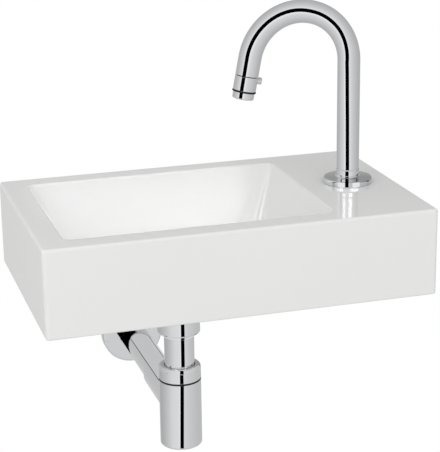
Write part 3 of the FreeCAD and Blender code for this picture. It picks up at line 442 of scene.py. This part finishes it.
def makeScrewHoleCutter():
    place = Matrix.Translation(nodeMiddle("spout_grub_screw")) @ Matrix.Rotation(math.pi / 2, 4, "X")
    radius = spoutTube["screwHole"]
    work = bmesh.new()
    bmesh.ops.create_cone(work, cap_ends=True, segments=spoutTube["screwHoleSides"], radius1=radius,
                          radius2=radius, depth=spoutTube["screwHoleDepth"], matrix=place)
    mesh = bpy.data.meshes.new("screwHole")
    work.to_mesh(mesh)
    work.free()
    return addObject("screwHole", mesh)


def makeSpout():
    place = Vector((tapAxis.x, tapAxis.y, spoutLow.z))
    piece = grownPiece("spoutTube", makeSweptTube(), {
        "Rise": bendStart - spoutLow.z, "Bend Radius": spoutTube["bendRadius"], "Bend Angle": bendAngle,
        "Tip Run": spoutTube["tipRun"], "Radius": spoutTube["radius"], "Rings": spoutTube["rings"],
        "Sides": spoutTube["sides"], "Place": place, "Finish": finishes["chrome"]})
    wall = piece.modifiers.new("wall", "SOLIDIFY")
    wall.thickness = spoutTube["wall"]
    wall.offset = -1
    cutter = makeScrewHoleCutter()
    hole = piece.modifiers.new("screwHole", "BOOLEAN")
    hole.object = cutter
    edges = piece.modifiers.new("edges", "BEVEL")
    edges.width = spoutTube["edge"]
    edges.segments = spoutTube["edgeSteps"]
    edges.angle_limit = math.radians(spoutTube["edgeAngle"])
    edges.limit_method = "ANGLE"
    edges.harden_normals = True
    settle(piece)
    bpy.data.objects.remove(cutter)
    belongs(piece, "spout_tube")
    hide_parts("spout_tube")
    return piece


# threads: a ridge wound round a core that is turned down to the thread's foot

shankThread = {"major": 10.45, "minor": 9.33, "pitch": 1.814, "runs": [(-3.4, 17.4), (22.0, 66.0)]}
tailThread = {"major": 20.9, "minor": 19.5, "pitch": 2.309, "runs": [(-79.0, -20.0)]}
ridge = {"stepsPerTurn": 72, "reach": 0.12, "flank": 0.46}


def makeRidgeTree():
    tree, sizes = newTree("threadRidge", {
        "Radius": "Float", "Turns": "Float", "Length": "Float", "Steps": "Int",
        "Depth": "Float", "Half Width": "Float", "Place": "Vector"})
    helix = addNode(tree, "GeometryNodeCurveSpiral", Resolution=sizes["Steps"], Rotations=sizes["Turns"],
                    Start_Radius=sizes["Radius"], End_Radius=sizes["Radius"], Height=sizes["Length"])
    upright = addNode(tree, "GeometryNodeSetCurveNormal", {"mode": "Z_UP"}, Curve=helix.outputs[0])
    diamond = addNode(tree, "GeometryNodeCurvePrimitiveCircle", Resolution=4, Radius=1.0).outputs[0]
    scale = addNode(tree, "ShaderNodeCombineXYZ", X=sizes["Depth"], Y=sizes["Half Width"], Z=1.0).outputs[0]
    section = addNode(tree, "GeometryNodeTransform", Geometry=diamond, Scale=scale).outputs[0]
    wound = addNode(tree, "GeometryNodeCurveToMesh", Curve=upright.outputs[0], Profile_Curve=section,
                    Fill_Caps=True)
    placed = addNode(tree, "GeometryNodeTransform", Geometry=wound.outputs[0], Translation=sizes["Place"])
    endTree(tree, placed.outputs[0], sizes["Finish"])
    return tree


def makeThread(node, thread, axis, tree):
    mesh = nodes[node].data.copy()
    for vertex in mesh.vertices:
        spoke = Vector((vertex.co.x - axis.x, vertex.co.y - axis.y))
        if abs(spoke.length - thread["major"] * mm) < ridge["reach"] * mm:
            spoke *= thread["minor"] * mm / spoke.length
            vertex.co.x, vertex.co.y = axis.x + spoke.x, axis.y + spoke.y
    core = addObject(node + "Core", mesh)
    finish = finishes[slotOf[node]]
    core.data.materials[0] = finish
    belongs(core, node)
    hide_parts(node)
    for number, (bottom, top) in enumerate(thread["runs"], 1):
        length = top - bottom
        piece = grownPiece(f"{node}Thread{number}", tree, {
            "Radius": thread["minor"] * mm, "Turns": length / thread["pitch"], "Length": length * mm,
            "Steps": ridge["stepsPerTurn"], "Depth": (thread["major"] - thread["minor"]) * mm,
            "Half Width": ridge["flank"] * thread["pitch"] * mm, "Place": onUpright(axis, bottom),
            "Finish": finish})
        settle(piece)
        piece.data.set_sharp_from_angle(angle=sharpAngle)
        belongs(piece, node)


turnedPiece("trap_coupling_nut", couplingNut["profile"], onUpright(trapAxis, couplingNut["foot"]), upwards)
turnedPiece("trap_cap", trapCap["profile"], onUpright(trapAxis, trapCap["foot"]), upwards)
turnedPiece("trap_gasket_ring", gasketRing["profile"], onUpright(trapAxis, gasketRing["foot"]), upwards)
turnedPiece("tap_flange", tapFlange["profile"], Vector((tapAxis.x, tapAxis.y, deck)), upwards)
turnedPiece("control_ring", controlRing["profile"], tipStart, tipAxis)
turnedPiece("tip_seal_ring", tipSeal["profile"], tipStart, tipAxis)
turnedPiece("lever_pin", leverPin["profile"], tipStart + leverPin["alongTip"] * mm * tipAxis, leverAxis)
spout = makeSpout()
print("spout:", len(spout.data.polygons), "faces")
ridgeTree = makeRidgeTree()
makeThread("tap_shank", shankThread, tapAxis, ridgeTree)
makeThread("waste_body", tailThread, trapAxis, ridgeTree)
print("pieces: turned, swept and threaded")


# camera at the photograph's place

cameraPlace = {"location": (-0.42082, -1.56046, 0.49448), "azimuth": -16.689, "elevation": 17.4583,
               "roll": -0.83, "lens": 119.98, "sensor": 36}


def makeCamera():
    azimuth = math.radians(cameraPlace["azimuth"])
    elevation = math.radians(cameraPlace["elevation"])
    roll = math.radians(cameraPlace["roll"])
    level = math.cos(elevation)
    back = Vector((math.sin(azimuth) * level, -math.cos(azimuth) * level, math.sin(elevation)))
    right = (-back).cross(upwards).normalized()
    up = right.cross(-back)
    rolledRight = math.cos(roll) * right + math.sin(roll) * up
    rolledUp = math.cos(roll) * up - math.sin(roll) * right
    camera = addObject("camera", bpy.data.cameras.new("camera"))
    camera.data.lens = cameraPlace["lens"]
    camera.data.sensor_width = cameraPlace["sensor"]
    turn = Matrix((rolledRight, rolledUp, back)).transposed()
    camera.matrix_world = Matrix.LocRotScale(Vector(cameraPlace["location"]), turn.to_quaternion(), None)
    bpy.context.scene.camera = camera
    return camera


camera = makeCamera()
print("camera: lens", cameraPlace["lens"], "mm")


# studio: soft white surround, two softboxes beside the camera, a lamp over the bowl, pale floor

studio = {"ambient": 0.68, "front": 0.90, "back": 0.55, "facing": (-0.62, -0.78), "liftTop": 0.3,
          "rearAbove": -0.12, "skew": -0.25, "flagHalf": 0.1, "flagFade": 0.1, "flagGlow": 0.12}


def makeWorld():
    world = bpy.data.worlds.new("studio")
    bpy.context.scene.world = world
    world.use_nodes = True
    tree = world.node_tree
    tree.nodes.clear()
    rays = addNode(tree, "ShaderNodeLightPath").outputs
    direction = addNode(tree, "ShaderNodeTexCoord").outputs["Generated"]
    place = addNode(tree, "ShaderNodeSeparateXYZ", Vector=direction)
    ahead = calculate(tree, "MULTIPLY", place.outputs["X"], studio["facing"][0])
    towards = calculate(tree, "MULTIPLY_ADD", place.outputs["Y"], studio["facing"][1], ahead)
    panorama = addNode(tree, "ShaderNodeMapRange", Value=towards, From_Min=-1.0, From_Max=1.0,
                       To_Min=studio["back"], To_Max=studio["front"]).outputs["Result"]
    lift = addNode(tree, "ShaderNodeMapRange", Value=place.outputs["Z"], From_Max=studio["liftTop"])
    lift = lift.outputs["Result"]
    rear = calculate(tree, "MULTIPLY", calculate(tree, "MAXIMUM", place.outputs["Y"], 0.0), lift)
    panorama = calculate(tree, "MULTIPLY_ADD", rear, studio["rearAbove"], panorama)
    skewed = calculate(tree, "MULTIPLY", place.outputs["X"], lift)
    panorama = calculate(tree, "MULTIPLY_ADD", skewed, studio["skew"], panorama)
    # dark upright flags far to the left and right, which mirrors show
    aside = calculate(tree, "ABSOLUTE", place.outputs["X"])
    fore = calculate(tree, "ABSOLUTE", place.outputs["Y"])
    offAxis = calculate(tree, "MULTIPLY_ADD", aside, -studio["flagHalf"], fore)
    flags = addNode(tree, "ShaderNodeMapRange", Value=offAxis, From_Max=studio["flagFade"],
                    To_Min=studio["flagGlow"])
    panorama = calculate(tree, "MULTIPLY", panorama, flags.outputs["Result"])
    soft = addNode(tree, "ShaderNodeBackground", Color=(1, 1, 1, 1), Strength=studio["ambient"])
    mirrored = addNode(tree, "ShaderNodeBackground", Color=(1, 1, 1, 1), Strength=panorama)
    seen = addNode(tree, "ShaderNodeBackground", Color=(1, 1, 1, 1), Strength=1.0)
    glossy = addNode(tree, "ShaderNodeMixShader", Fac=rays["Is Glossy Ray"])
    tree.links.new(soft.outputs[0], glossy.inputs[1])
    tree.links.new(mirrored.outputs[0], glossy.inputs[2])
    plain = calculate(tree, "MAXIMUM", rays["Is Camera Ray"], rays["Is Transmission Ray"])
    shown = addNode(tree, "ShaderNodeMixShader", Fac=plain)
    tree.links.new(glossy.outputs[0], shown.inputs[1])
    tree.links.new(seen.outputs[0], shown.inputs[2])
    addNode(tree, "ShaderNodeOutputWorld", Surface=shown.outputs[0])


softboxes = {"left": {"place": (-0.98, -0.76, 0.64), "size": (0.90, 0.60)},
             "right": {"place": (0.27, -1.42, 0.64), "size": (0.90, 0.60)},
             "aim": (0.10, -0.12, 0.03), "radiance": 2.0}


def makeLamp(name, size, radiance, place, aim):
    light = bpy.data.lights.new(name, "AREA")
    light.shape = "RECTANGLE"
    light.size, light.size_y = size
    light.energy = radiance * math.pi * light.size * light.size_y
    lamp = addObject(name, light)
    lamp.location = place
    lamp.rotation_euler = (aim - lamp.location).to_track_quat("-Z", "Y").to_euler()
    lamp.visible_camera = False
    lamp.visible_glossy = False
    return light


def makeSoftbox(name):
    box, aim = softboxes[name], Vector(softboxes["aim"])
    makeLamp(name + "Softbox", box["size"], softboxes["radiance"], box["place"], aim)


bowlLamp = {"size": (0.24, 0.08), "spread": 6, "elevation": 38, "distance": 0.6, "radiance": 0.29,
            "aim": (-0.055, -0.04, 0.016)}


def makeBowlLamp():
    # a gridded lamp over the bowl, so that its walls are as bright as the front
    elevation = math.radians(bowlLamp["elevation"])
    aim = Vector(bowlLamp["aim"])
    place = aim + bowlLamp["distance"] * Vector((0, -math.cos(elevation), math.sin(elevation)))
    light = makeLamp("bowlLamp", bowlLamp["size"], bowlLamp["radiance"], place, aim)
    light.spread = math.radians(bowlLamp["spread"])


floorDisc = {"height": -0.8, "radius": 0.9, "sides": 96, "pale": (0.9, 0.9, 0.9), "roughness": 0.8,
             "fade": (0.3, 0.85)}


def makeFloorFinish():
    # pale, and white towards its rim where the camera sees it
    material, tree = emptyMaterial("floor")
    pale = addNode(tree, "ShaderNodeBsdfPrincipled", Base_Color=(*floorDisc["pale"], 1),
                   Roughness=floorDisc["roughness"])
    white = addNode(tree, "ShaderNodeEmission", Strength=1.0)
    coords = addNode(tree, "ShaderNodeTexCoord").outputs["Object"]
    flat = addNode(tree, "ShaderNodeVectorMath", {"operation": "MULTIPLY"})
    setInput(tree, flat.inputs[0], coords)
    setInput(tree, flat.inputs[1], (1, 1, 0))
    away = addNode(tree, "ShaderNodeVectorMath", {"operation": "LENGTH"})
    setInput(tree, away.inputs[0], flat.outputs["Vector"])
    start, end = floorDisc["fade"]
    rim = addNode(tree, "ShaderNodeMapRange", {"interpolation_type": "SMOOTHSTEP"},
                  Value=away.outputs["Value"], From_Min=start, From_Max=end).outputs["Result"]
    seen = addNode(tree, "ShaderNodeLightPath").outputs["Is Camera Ray"]
    fade = addNode(tree, "ShaderNodeMixShader", Fac=calculate(tree, "MULTIPLY", rim, seen))
    tree.links.new(pale.outputs[0], fade.inputs[1])
    tree.links.new(white.outputs[0], fade.inputs[2])
    addNode(tree, "ShaderNodeOutputMaterial", Surface=fade.outputs[0])
    return material


def makeFloor():
    mesh = bpy.data.meshes.new("floor")
    radius, corners = floorDisc["radius"], []
    for side in range(floorDisc["sides"]):
        turn = 2 * math.pi * side / floorDisc["sides"]
        corners.append((radius * math.cos(turn), radius * math.sin(turn), floorDisc["height"]))
    mesh.from_pydata(corners, [], [range(floorDisc["sides"])])
    mesh.materials.append(makeFloorFinish())
    floor = addObject("floor", mesh)


makeWorld()
makeSoftbox("left")
makeSoftbox("right")
makeBowlLamp()
makeFloor()
bpy.context.scene.view_settings.view_transform = "Standard"
print("studio: two softboxes, bowl lamp, floor at", floorDisc["height"], "m")


# reflector cards: dark strips with pale sides close to the tubes, which only reflections show;
# they hang where the photograph's camera sees them mirrored, so their lines hold for that view
# these cards glow but light nothing: the dark lines and pale bands they give the chrome are painted
# reflections

# each side is a list of (share of the way from the line to the bar's edge, glow);
# a card shows to rays that have come its reach, give or take its slack, by at most its depth of mirrors
cards = {"spout": {"reach": 25 * mm, "slack": 0.8 * mm, "half": 1.88 * mm, "depth": 1,
                   "left": [(0, 1.18), (0.2, 0.91), (0.5, 0.78), (1, 0.54)],
                   "right": [(0, 1.08), (0.15, 0.9), (0.45, 0.75), (1, 0.54)]},
         "collar": {"reach": 28 * mm, "slack": 0.8 * mm, "half": 1.85 * mm, "depth": 1,
                    "left": [(0, 1.1), (0.1, 0.95), (0.5, 0.78), (1, 0.54)],
                    "right": [(0, 1.1), (0.1, 0.95), (0.45, 0.78), (1, 0.54)]},
         "flange": {"reach": 0.8 * mm, "slack": 0.4 * mm, "half": 1.85 * mm, "depth": 1,
                    "left": [], "right": []},
         "rim": {"reach": 0.8 * mm, "slack": 0.4 * mm, "half": 1.85 * mm, "depth": 1,
                 "left": [(0, 0.85), (0.01, 1.1), (0.3, 1.1), (0.36, 0.75)],
                 "right": [(0, 0.72), (0.16, 0.72), (0.18, 1.1), (0.46, 1.1), (0.5, 0.75)]},
         "trap": {"reach": 50 * mm, "slack": 1.5 * mm, "half": 1.92 * mm, "depth": 2,
                  "left": [(0, 1.1), (0.07, 0.96), (0.4, 0.9), (0.65, 0.72), (1, 0.5)],
                  "right": [(0, 0.88), (0.3, 0.8), (0.65, 0.72), (1, 0.64)]},
         "trapCorner": {"reach": 2 * mm, "slack": 0.8 * mm, "half": 1.92 * mm, "depth": 1,
                        "left": [(0, 1.0), (0.4, 0.88), (1, 0.6)],
                        "right": [(0, 0.9), (0.5, 0.78), (1, 0.66)]},
         "outlet": {"reach": 60 * mm, "slack": 2 * mm, "half": 0.35 * mm, "depth": 1,
                    "left": [(0, 0.66), (1, 0.68)],
                    "right": [(0, 0.73), (0.89, 0.7), (0.9, 0.2), (0.93, 0.2), (0.94, 0.78), (1, 0.78)]}}
cardFit = {"splits": 8, "edgeShare": 0.96}  # parts of a band, share of a bar's radius
# where the painted dark reflection line runs, in millimetres beside the spout's middle: (share of the column
# or bend, place)
spoutLine = {"column": [(0, -0.22), (0.5, -0.85), (0.7, -1.25), (0.9, -1.6), (1, -1.9)],
             "bend": [(0, -1.9), (0.1, -1.4), (0.25, -0.3), (0.4, 0.2), (0.5, 0.55), (0.6, 1.4),
                      (0.7, 1.9), (0.93, 2.65), (1, 2.85)],
             "tip": 2.5, "tipReach": 42.6, "steps": 64}


def mirrorRay(onAxis, along, radius, offset, tilt=0.0):
    # a camera ray that a round bar mirrors, at an offset from its middle; the wall of a cone is tilted
    view = (onAxis - camera.location).normalized()
    facing = -(view - view.dot(along) * along).normalized()
    side = along.cross(facing)
    turn = math.asin(offset / radius)
    normal = math.cos(turn) * facing + math.sin(turn) * side
    touch = onAxis + radius * normal
    normal = math.cos(tilt) * normal + math.sin(tilt) * along
    view = (touch - camera.location).normalized()
    return touch, view - 2 * view.dot(normal) * normal


def stored(tree, label):
    return addNode(tree, "ShaderNodeAttribute", {"attribute_name": label}).outputs["Fac"]


def makePaintedReflectionFinish():
    # the glow of every painted reflection: one-sided, and clear to rays that have come another way or met too
    # many or too few mirrors
    material, tree = emptyMaterial("card")
    rays = addNode(tree, "ShaderNodeLightPath").outputs
    mirrors = rays["Glossy Depth"]
    excess = calculate(tree, "SUBTRACT", rays["Ray Length"], stored(tree, "reach"))
    amiss = calculate(tree, "ABSOLUTE", excess)
    foreign = calculate(tree, "GREATER_THAN", amiss, stored(tree, "slack"))
    most = calculate(tree, "ADD", stored(tree, "depth"), 0.5)  # between two whole counts
    foreign = calculate(tree, "MAXIMUM", foreign, calculate(tree, "GREATER_THAN", mirrors, most))
    tooFew = calculate(tree, "LESS_THAN", mirrors, stored(tree, "least"))
    foreign = calculate(tree, "MAXIMUM", foreign, tooFew)
    behind = addNode(tree, "ShaderNodeNewGeometry").outputs["Backfacing"]
    shining = addNode(tree, "ShaderNodeEmission", Strength=stored(tree, "glow"))
    clear = addNode(tree, "ShaderNodeBsdfTransparent")
    shown = addNode(tree, "ShaderNodeMixShader", Fac=calculate(tree, "MAXIMUM", behind, foreign))
    tree.links.new(shining.outputs[0], shown.inputs[1])
    tree.links.new(clear.outputs[0], shown.inputs[2])
    addNode(tree, "ShaderNodeOutputMaterial", Surface=shown.outputs[0])
    return material


def cardBands(card):
    # (start, end, glow at each); a stop is its way off the line and its share towards the bar's edge
    splits = cardFit["splits"]
    ways = [2 * step / splits - 1 for step in range(splits + 1)]
    bands = [((start, 0), (end, 0), 0.0, 0.0) for start, end in zip(ways, ways[1:])]
    for way, side in ((-1, "left"), (1, "right")):
        stops = []
        for (start, glow), (end, nextGlow) in zip(card[side], card[side][1:]):
            for step in range(splits):
                part = step / splits
                stops.append((start + part * (end - start), glow + part * (nextGlow - glow)))
        stops += card[side][-1:]
        for (start, glow), (end, nextGlow) in zip(stops, stops[1:]):
            bands.append(((way, start), (way, end), glow, nextGlow))
    return bands


def cardOffset(card, stop, radius, shift):
    way, share = stop
    edge = shift + way * card["half"]
    return edge + share * (way * cardFit["edgeShare"] * radius - edge)


def hangPaintedReflection(name, mesh, glows, card):
    # a painted reflection: a glowing sheet that only reflections see
    values = {label: [card.get(label, 0)] * len(glows) for label in ("reach", "slack", "least", "depth")}
    values["glow"] = glows
    for label, row in values.items():
        mesh.attributes.new(label, "FLOAT", "POINT").data.foreach_set("value", row)
    mesh.materials.append(paintedReflectionFinish)
    flag = addObject(name, mesh)
    for rays in ("camera", "diffuse", "transmission", "volume_scatter", "shadow"):
        setattr(flag, "visible_" + rays, False)


def facedMesh(name, points, faces, rays):
    # each face looks back along its ray
    mesh = bpy.data.meshes.new(name)
    mesh.from_pydata(points, [], faces)
    for polygon, ray in zip(mesh.polygons, rays):
        if polygon.normal.dot(ray) > 0:
            polygon.flip()
    return mesh


def makePaintedReflectionLine(name, runs):
    # a run is a row of (point on the axis, direction, radius, place of the line, tilt of the wall if any)
    # a painted dark reflection line down the middle, with painted highlights fading out on either side
    card = cards[name]
    points, faces, glows, rays = [], [], [], []
    for run in runs:
        for start, end, startGlow, endGlow in cardBands(card):
            for index, (onAxis, along, radius, shift, *tilt) in enumerate(run):
                for stop in (start, end):
                    offset = cardOffset(card, stop, radius, shift)
                    touch, ray = mirrorRay(onAxis, along, radius, offset, *tilt)
                    points.append(touch + ray * card["reach"])
                glows += [startGlow, endGlow]
                last = len(points)
                if index:
                    faces.append((last - 4, last - 3, last - 1, last - 2))
                    rays.append(ray)
    hangPaintedReflection(name + "Card", facedMesh(name + "Card", points, faces, rays), glows, card)


def linePlace(stops, share):
    for (start, place), (end, nextPlace) in zip(stops, stops[1:]):
        if share <= end:
            break
    return (place + (nextPlace - place) * (share - start) / (end - start)) * mm


def spoutStations():
    stations = []
    for share, _ in spoutLine["column"][:-1]:
        onAxis = Vector((tapAxis.x, tapAxis.y, spoutLow.z + share * (bendStart - spoutLow.z)))
        stations.append((onAxis, upwards, spoutTube["radius"], linePlace(spoutLine["column"], share)))
    for step in range(spoutLine["steps"] + 1):
        share = step / spoutLine["steps"]
        turn = bendAngle * share
        along = Vector((-math.sin(turn), 0, math.cos(turn)))
        onAxis = bendCentre + spoutTube["bendRadius"] * Vector((math.cos(turn), 0, math.sin(turn)))
        stations.append((onAxis, along, spoutTube["radius"], linePlace(spoutLine["bend"], share)))
    tipEnd = tipStart + spoutLine["tipReach"] * mm * tipAxis
    stations.append((tipEnd, tipAxis, spoutTube["radius"], spoutLine["tip"] * mm))
    return stations


def uprightRun(centre, radius, ends):
    # ends are (height, place of the line) in millimetres
    return [(onUpright(centre, height), upwards, radius * mm, shift * mm) for height, shift in ends]


def roundRun(centre, middle, size, turns, shift):
    # over a corner's round, given by the round's middle (radius, height), its size, and the tilts to visit
    run = []
    for turn in turns:
        tilt = math.radians(turn)
        radius, height = middle[0] + size * math.cos(tilt), middle[1] + size * math.sin(tilt)
        run.append((onUpright(centre, height), upwards, radius * mm, shift * mm, tilt))
    return run


flangeLine = {"shift": -0.6, "rim": (26, 5.8), "collar": (12.2, 6.6), "collarTop": 14.4, "size": 2,
              "turns": (0, 15, 30, 45, 60, 75), "topStations": 4, "foot": 0.6}
trapBars = [{"radius": 22.5, "ends": [(-216.4, 0.5), (-141.9, 2.1)]},  # bottle
            {"radius": 22.5, "ends": [(-141.9, 1.8), (-128, 1.8)]},  # cap
            {"radius": 16, "ends": [(-125, 3.5), (-92.2, 3.7), (-70, 3.8)]},  # inlet tube, mirrored in the cap
            {"radius": 22.5, "ends": [(-86.5, 4.0), (-68.5, 4.0)]}]  # coupling nut
capRound = {"middle": (19.5, -128), "size": 3, "shift": 2.1, "turns": (-5, 0, 10, 20, 30, 40, 50, 60, 70)}
nutCone = {"low": (16.9, -92), "high": (22.2, -87.8), "shift": 3.8}


def flangeLineRuns():
    # down the collar's foot and over the flange's sloping top; down its rim
    (rimRadius, rimHeight), (collarRadius, collarHeight) = flangeLine["rim"], flangeLine["collar"]
    size, shift, floor = flangeLine["size"], flangeLine["shift"], deck / mm
    slope = (collarHeight - rimHeight) / (rimRadius - collarRadius)
    turns = (*flangeLine["turns"], 90 - math.degrees(math.atan(slope)))
    offset = size * math.hypot(1, slope)
    collarMiddle = (collarRadius + size, floor + collarHeight - slope * size + offset)
    rimMiddle = (rimRadius - size, floor + rimHeight + slope * size - offset)
    top = roundRun(tapAxis, collarMiddle, -size, turns, shift)
    rim = roundRun(tapAxis, rimMiddle, size, list(reversed(turns)), shift)
    foot = uprightRun(tapAxis, rimRadius, [(floor + flangeLine["foot"], shift)])
    split = flangeLine["topStations"]
    return top + rim[:split], rim[split - 1:] + foot


def nutConeRun():
    (lowRadius, low), (highRadius, high) = nutCone["low"], nutCone["high"]
    tilt = -math.atan2(highRadius - lowRadius, high - low)
    return [(onUpright(trapAxis, height), upwards, radius * mm, nutCone["shift"] * mm, tilt)
            for radius, height in (nutCone["low"], nutCone["high"])]


outletAxis = nodeMiddle("outlet_tube")
outletLine = {"shift": -5.4, "bars": [(18.6, -104, -36), (16, -36, 91)]}  # radius, start and end along Y


def outletRun(radius, *ends):
    along, shift = Vector((0, 1, 0)), outletLine["shift"] * mm
    return [(Vector((outletAxis.x, end * mm, outletAxis.z)), along, radius * mm, shift) for end in ends]


paintedReflectionFinish = makePaintedReflectionFinish()
collarRadius, collarFoot = flangeLine["collar"]
collarEnds = [(deck / mm + height, flangeLine["shift"])
              for height in (collarFoot + flangeLine["size"], flangeLine["collarTop"])]
makePaintedReflectionLine("spout", [spoutStations()])
makePaintedReflectionLine("collar", [uprightRun(tapAxis, collarRadius, collarEnds)])
flangeTop, flangeRim = flangeLineRuns()
makePaintedReflectionLine("flange", [flangeTop])
makePaintedReflectionLine("rim", [flangeRim])
makePaintedReflectionLine("trap", [uprightRun(trapAxis, bar["radius"], bar["ends"]) for bar in trapBars])
capRun = roundRun(trapAxis, capRound["middle"], capRound["size"], capRound["turns"], capRound["shift"])
makePaintedReflectionLine("trapCorner", [capRun, nutConeRun()])
makePaintedReflectionLine("outlet", [outletRun(*bar) for bar in outletLine["bars"]])


anywhere = {"reach": 0, "slack": 100, "depth": 9}  # shows from any distance
twoMirrors = {**anywhere, "least": 1.5}  # and only to rays that have met two mirrors or more


def makeFlatPaintedReflection(name, corners, glow, ray, card=anywhere):
    # a painted reflection on four corners in order; it shows to reflections that travel along the ray
    hangPaintedReflection(name, facedMesh(name, corners, [(0, 1, 2, 3)], [ray]), [glow] * 4, card)


# sizes of painted reflections: a dark sheet, a pale sheet below the basin and two bright panels
paintedDarkReflection = {"left": -400 * mm, "right": -45 * mm, "bottom": -300 * mm, "top": -33 * mm, "depth": -60 * mm}
paintedUnderReflection = {"gap": 1.5 * mm, "inset": 8 * mm, "glow": 0.72}
paintedPanels = {"left": (41, 66), "right": (-29, 8), "away": 1.2, "bottom": 0.34, "top": 0.49, "glow": 2.7}


def makePaintedDarkReflection():
    # a painted dark reflection standing in for shade: a dark sheet that stands behind the trap; the rosette
    # shows it through the mirrored outlet tube
    left, right, depth = (paintedDarkReflection[label] for label in ("left", "right", "depth"))
    bottom, top = paintedDarkReflection["bottom"], paintedDarkReflection["top"]
    corners = [(left, depth, bottom), (right, depth, bottom), (right, depth, top), (left, depth, top)]
    makeFlatPaintedReflection("paintedDarkReflection", corners, 0.0, Vector((0, -1, 0)), twoMirrors)


# the painted highlights in the bowl's back right corner: middle of its round at the deck, and what a
# millimetre of depth changes
bowlCorner = {"middle": (91, -34), "lean": (-0.606, -0.456), "radius": 8, "growth": 0.306,
              "depths": (4, 12, 20, 28, 36, 44, 52, 58), "lines": [(29, 6.0), (44, 4.5)], "half": 3,
              "reach": 1.5 * mm, "slack": 0.4 * mm, "depth": 1}


def makePaintedCornerHighlight(turn, glow):
    # a painted highlight: a glowing line down the corner, at a turn from +X, which only reflections show
    points, faces, rays = [], [], []
    for depth in bowlCorner["depths"]:
        for edge in (turn - bowlCorner["half"], turn + bowlCorner["half"]):
            angle = math.radians(edge)
            outward = Vector((math.cos(angle), math.sin(angle), 0))
            (x, y), (leanX, leanY) = bowlCorner["middle"], bowlCorner["lean"]
            middle = Vector((x + leanX * depth, y + leanY * depth, deck / mm - depth))
            touch = (middle + (bowlCorner["radius"] + bowlCorner["growth"] * depth) * outward) * mm
            along = Vector((leanX, leanY, -1)) + bowlCorner["growth"] * outward
            normal = along.cross(upwards.cross(outward)).normalized()
            view = (touch - camera.location).normalized()
            ray = view - 2 * view.dot(normal) * normal
            points.append(touch + ray * bowlCorner["reach"])
        last = len(points)
        if last > 2:
            faces.append((last - 4, last - 3, last - 1, last - 2))
            rays.append(ray)
    name = f"paintedCornerHighlight{turn}"
    hangPaintedReflection(name, facedMesh(name, points, faces, rays), [glow] * len(points), bowlCorner)


def makePaintedPanel(name):
    # painted reflections: bright glowing faces left and right of the camera that light nothing, low enough for
    # the deck to show them in the tap's foot
    turns = [math.radians(turn) for turn in paintedPanels[name]]
    first, last = (Vector((-math.sin(turn), -math.cos(turn), 0)) * paintedPanels["away"] for turn in turns)
    rows = ((first, "bottom"), (last, "bottom"), (last, "top"), (first, "top"))
    corners = [onUpright(tapAxis, 0) + way + upwards * paintedPanels[level] for way, level in rows]
    makeFlatPaintedReflection(name + "Panel", corners, paintedPanels["glow"], first + last, twoMirrors)


def makePaintedUnderReflection():
    # a painted reflection: a pale glowing sheet just below the basin, for the chrome under it
    low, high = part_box("basin")
    height = low.z - paintedUnderReflection["gap"]
    west, east = low.x + paintedUnderReflection["inset"], high.x - paintedUnderReflection["inset"]
    south, north = low.y + paintedUnderReflection["inset"], high.y - paintedUnderReflection["inset"]
    corners = [(west, south, height), (east, south, height), (east, north, height), (west, north, height)]
    makeFlatPaintedReflection("paintedUnderReflection", corners, paintedUnderReflection["glow"], upwards)


makePaintedDarkReflection()
makePaintedUnderReflection()
makePaintedPanel("left")
makePaintedPanel("right")
for turn, glow in bowlCorner["lines"]:
    makePaintedCornerHighlight(turn, glow)
print("cards: spout, collar, flange, trap, outlet, bowl corner, panels, dark screen, under the basin")
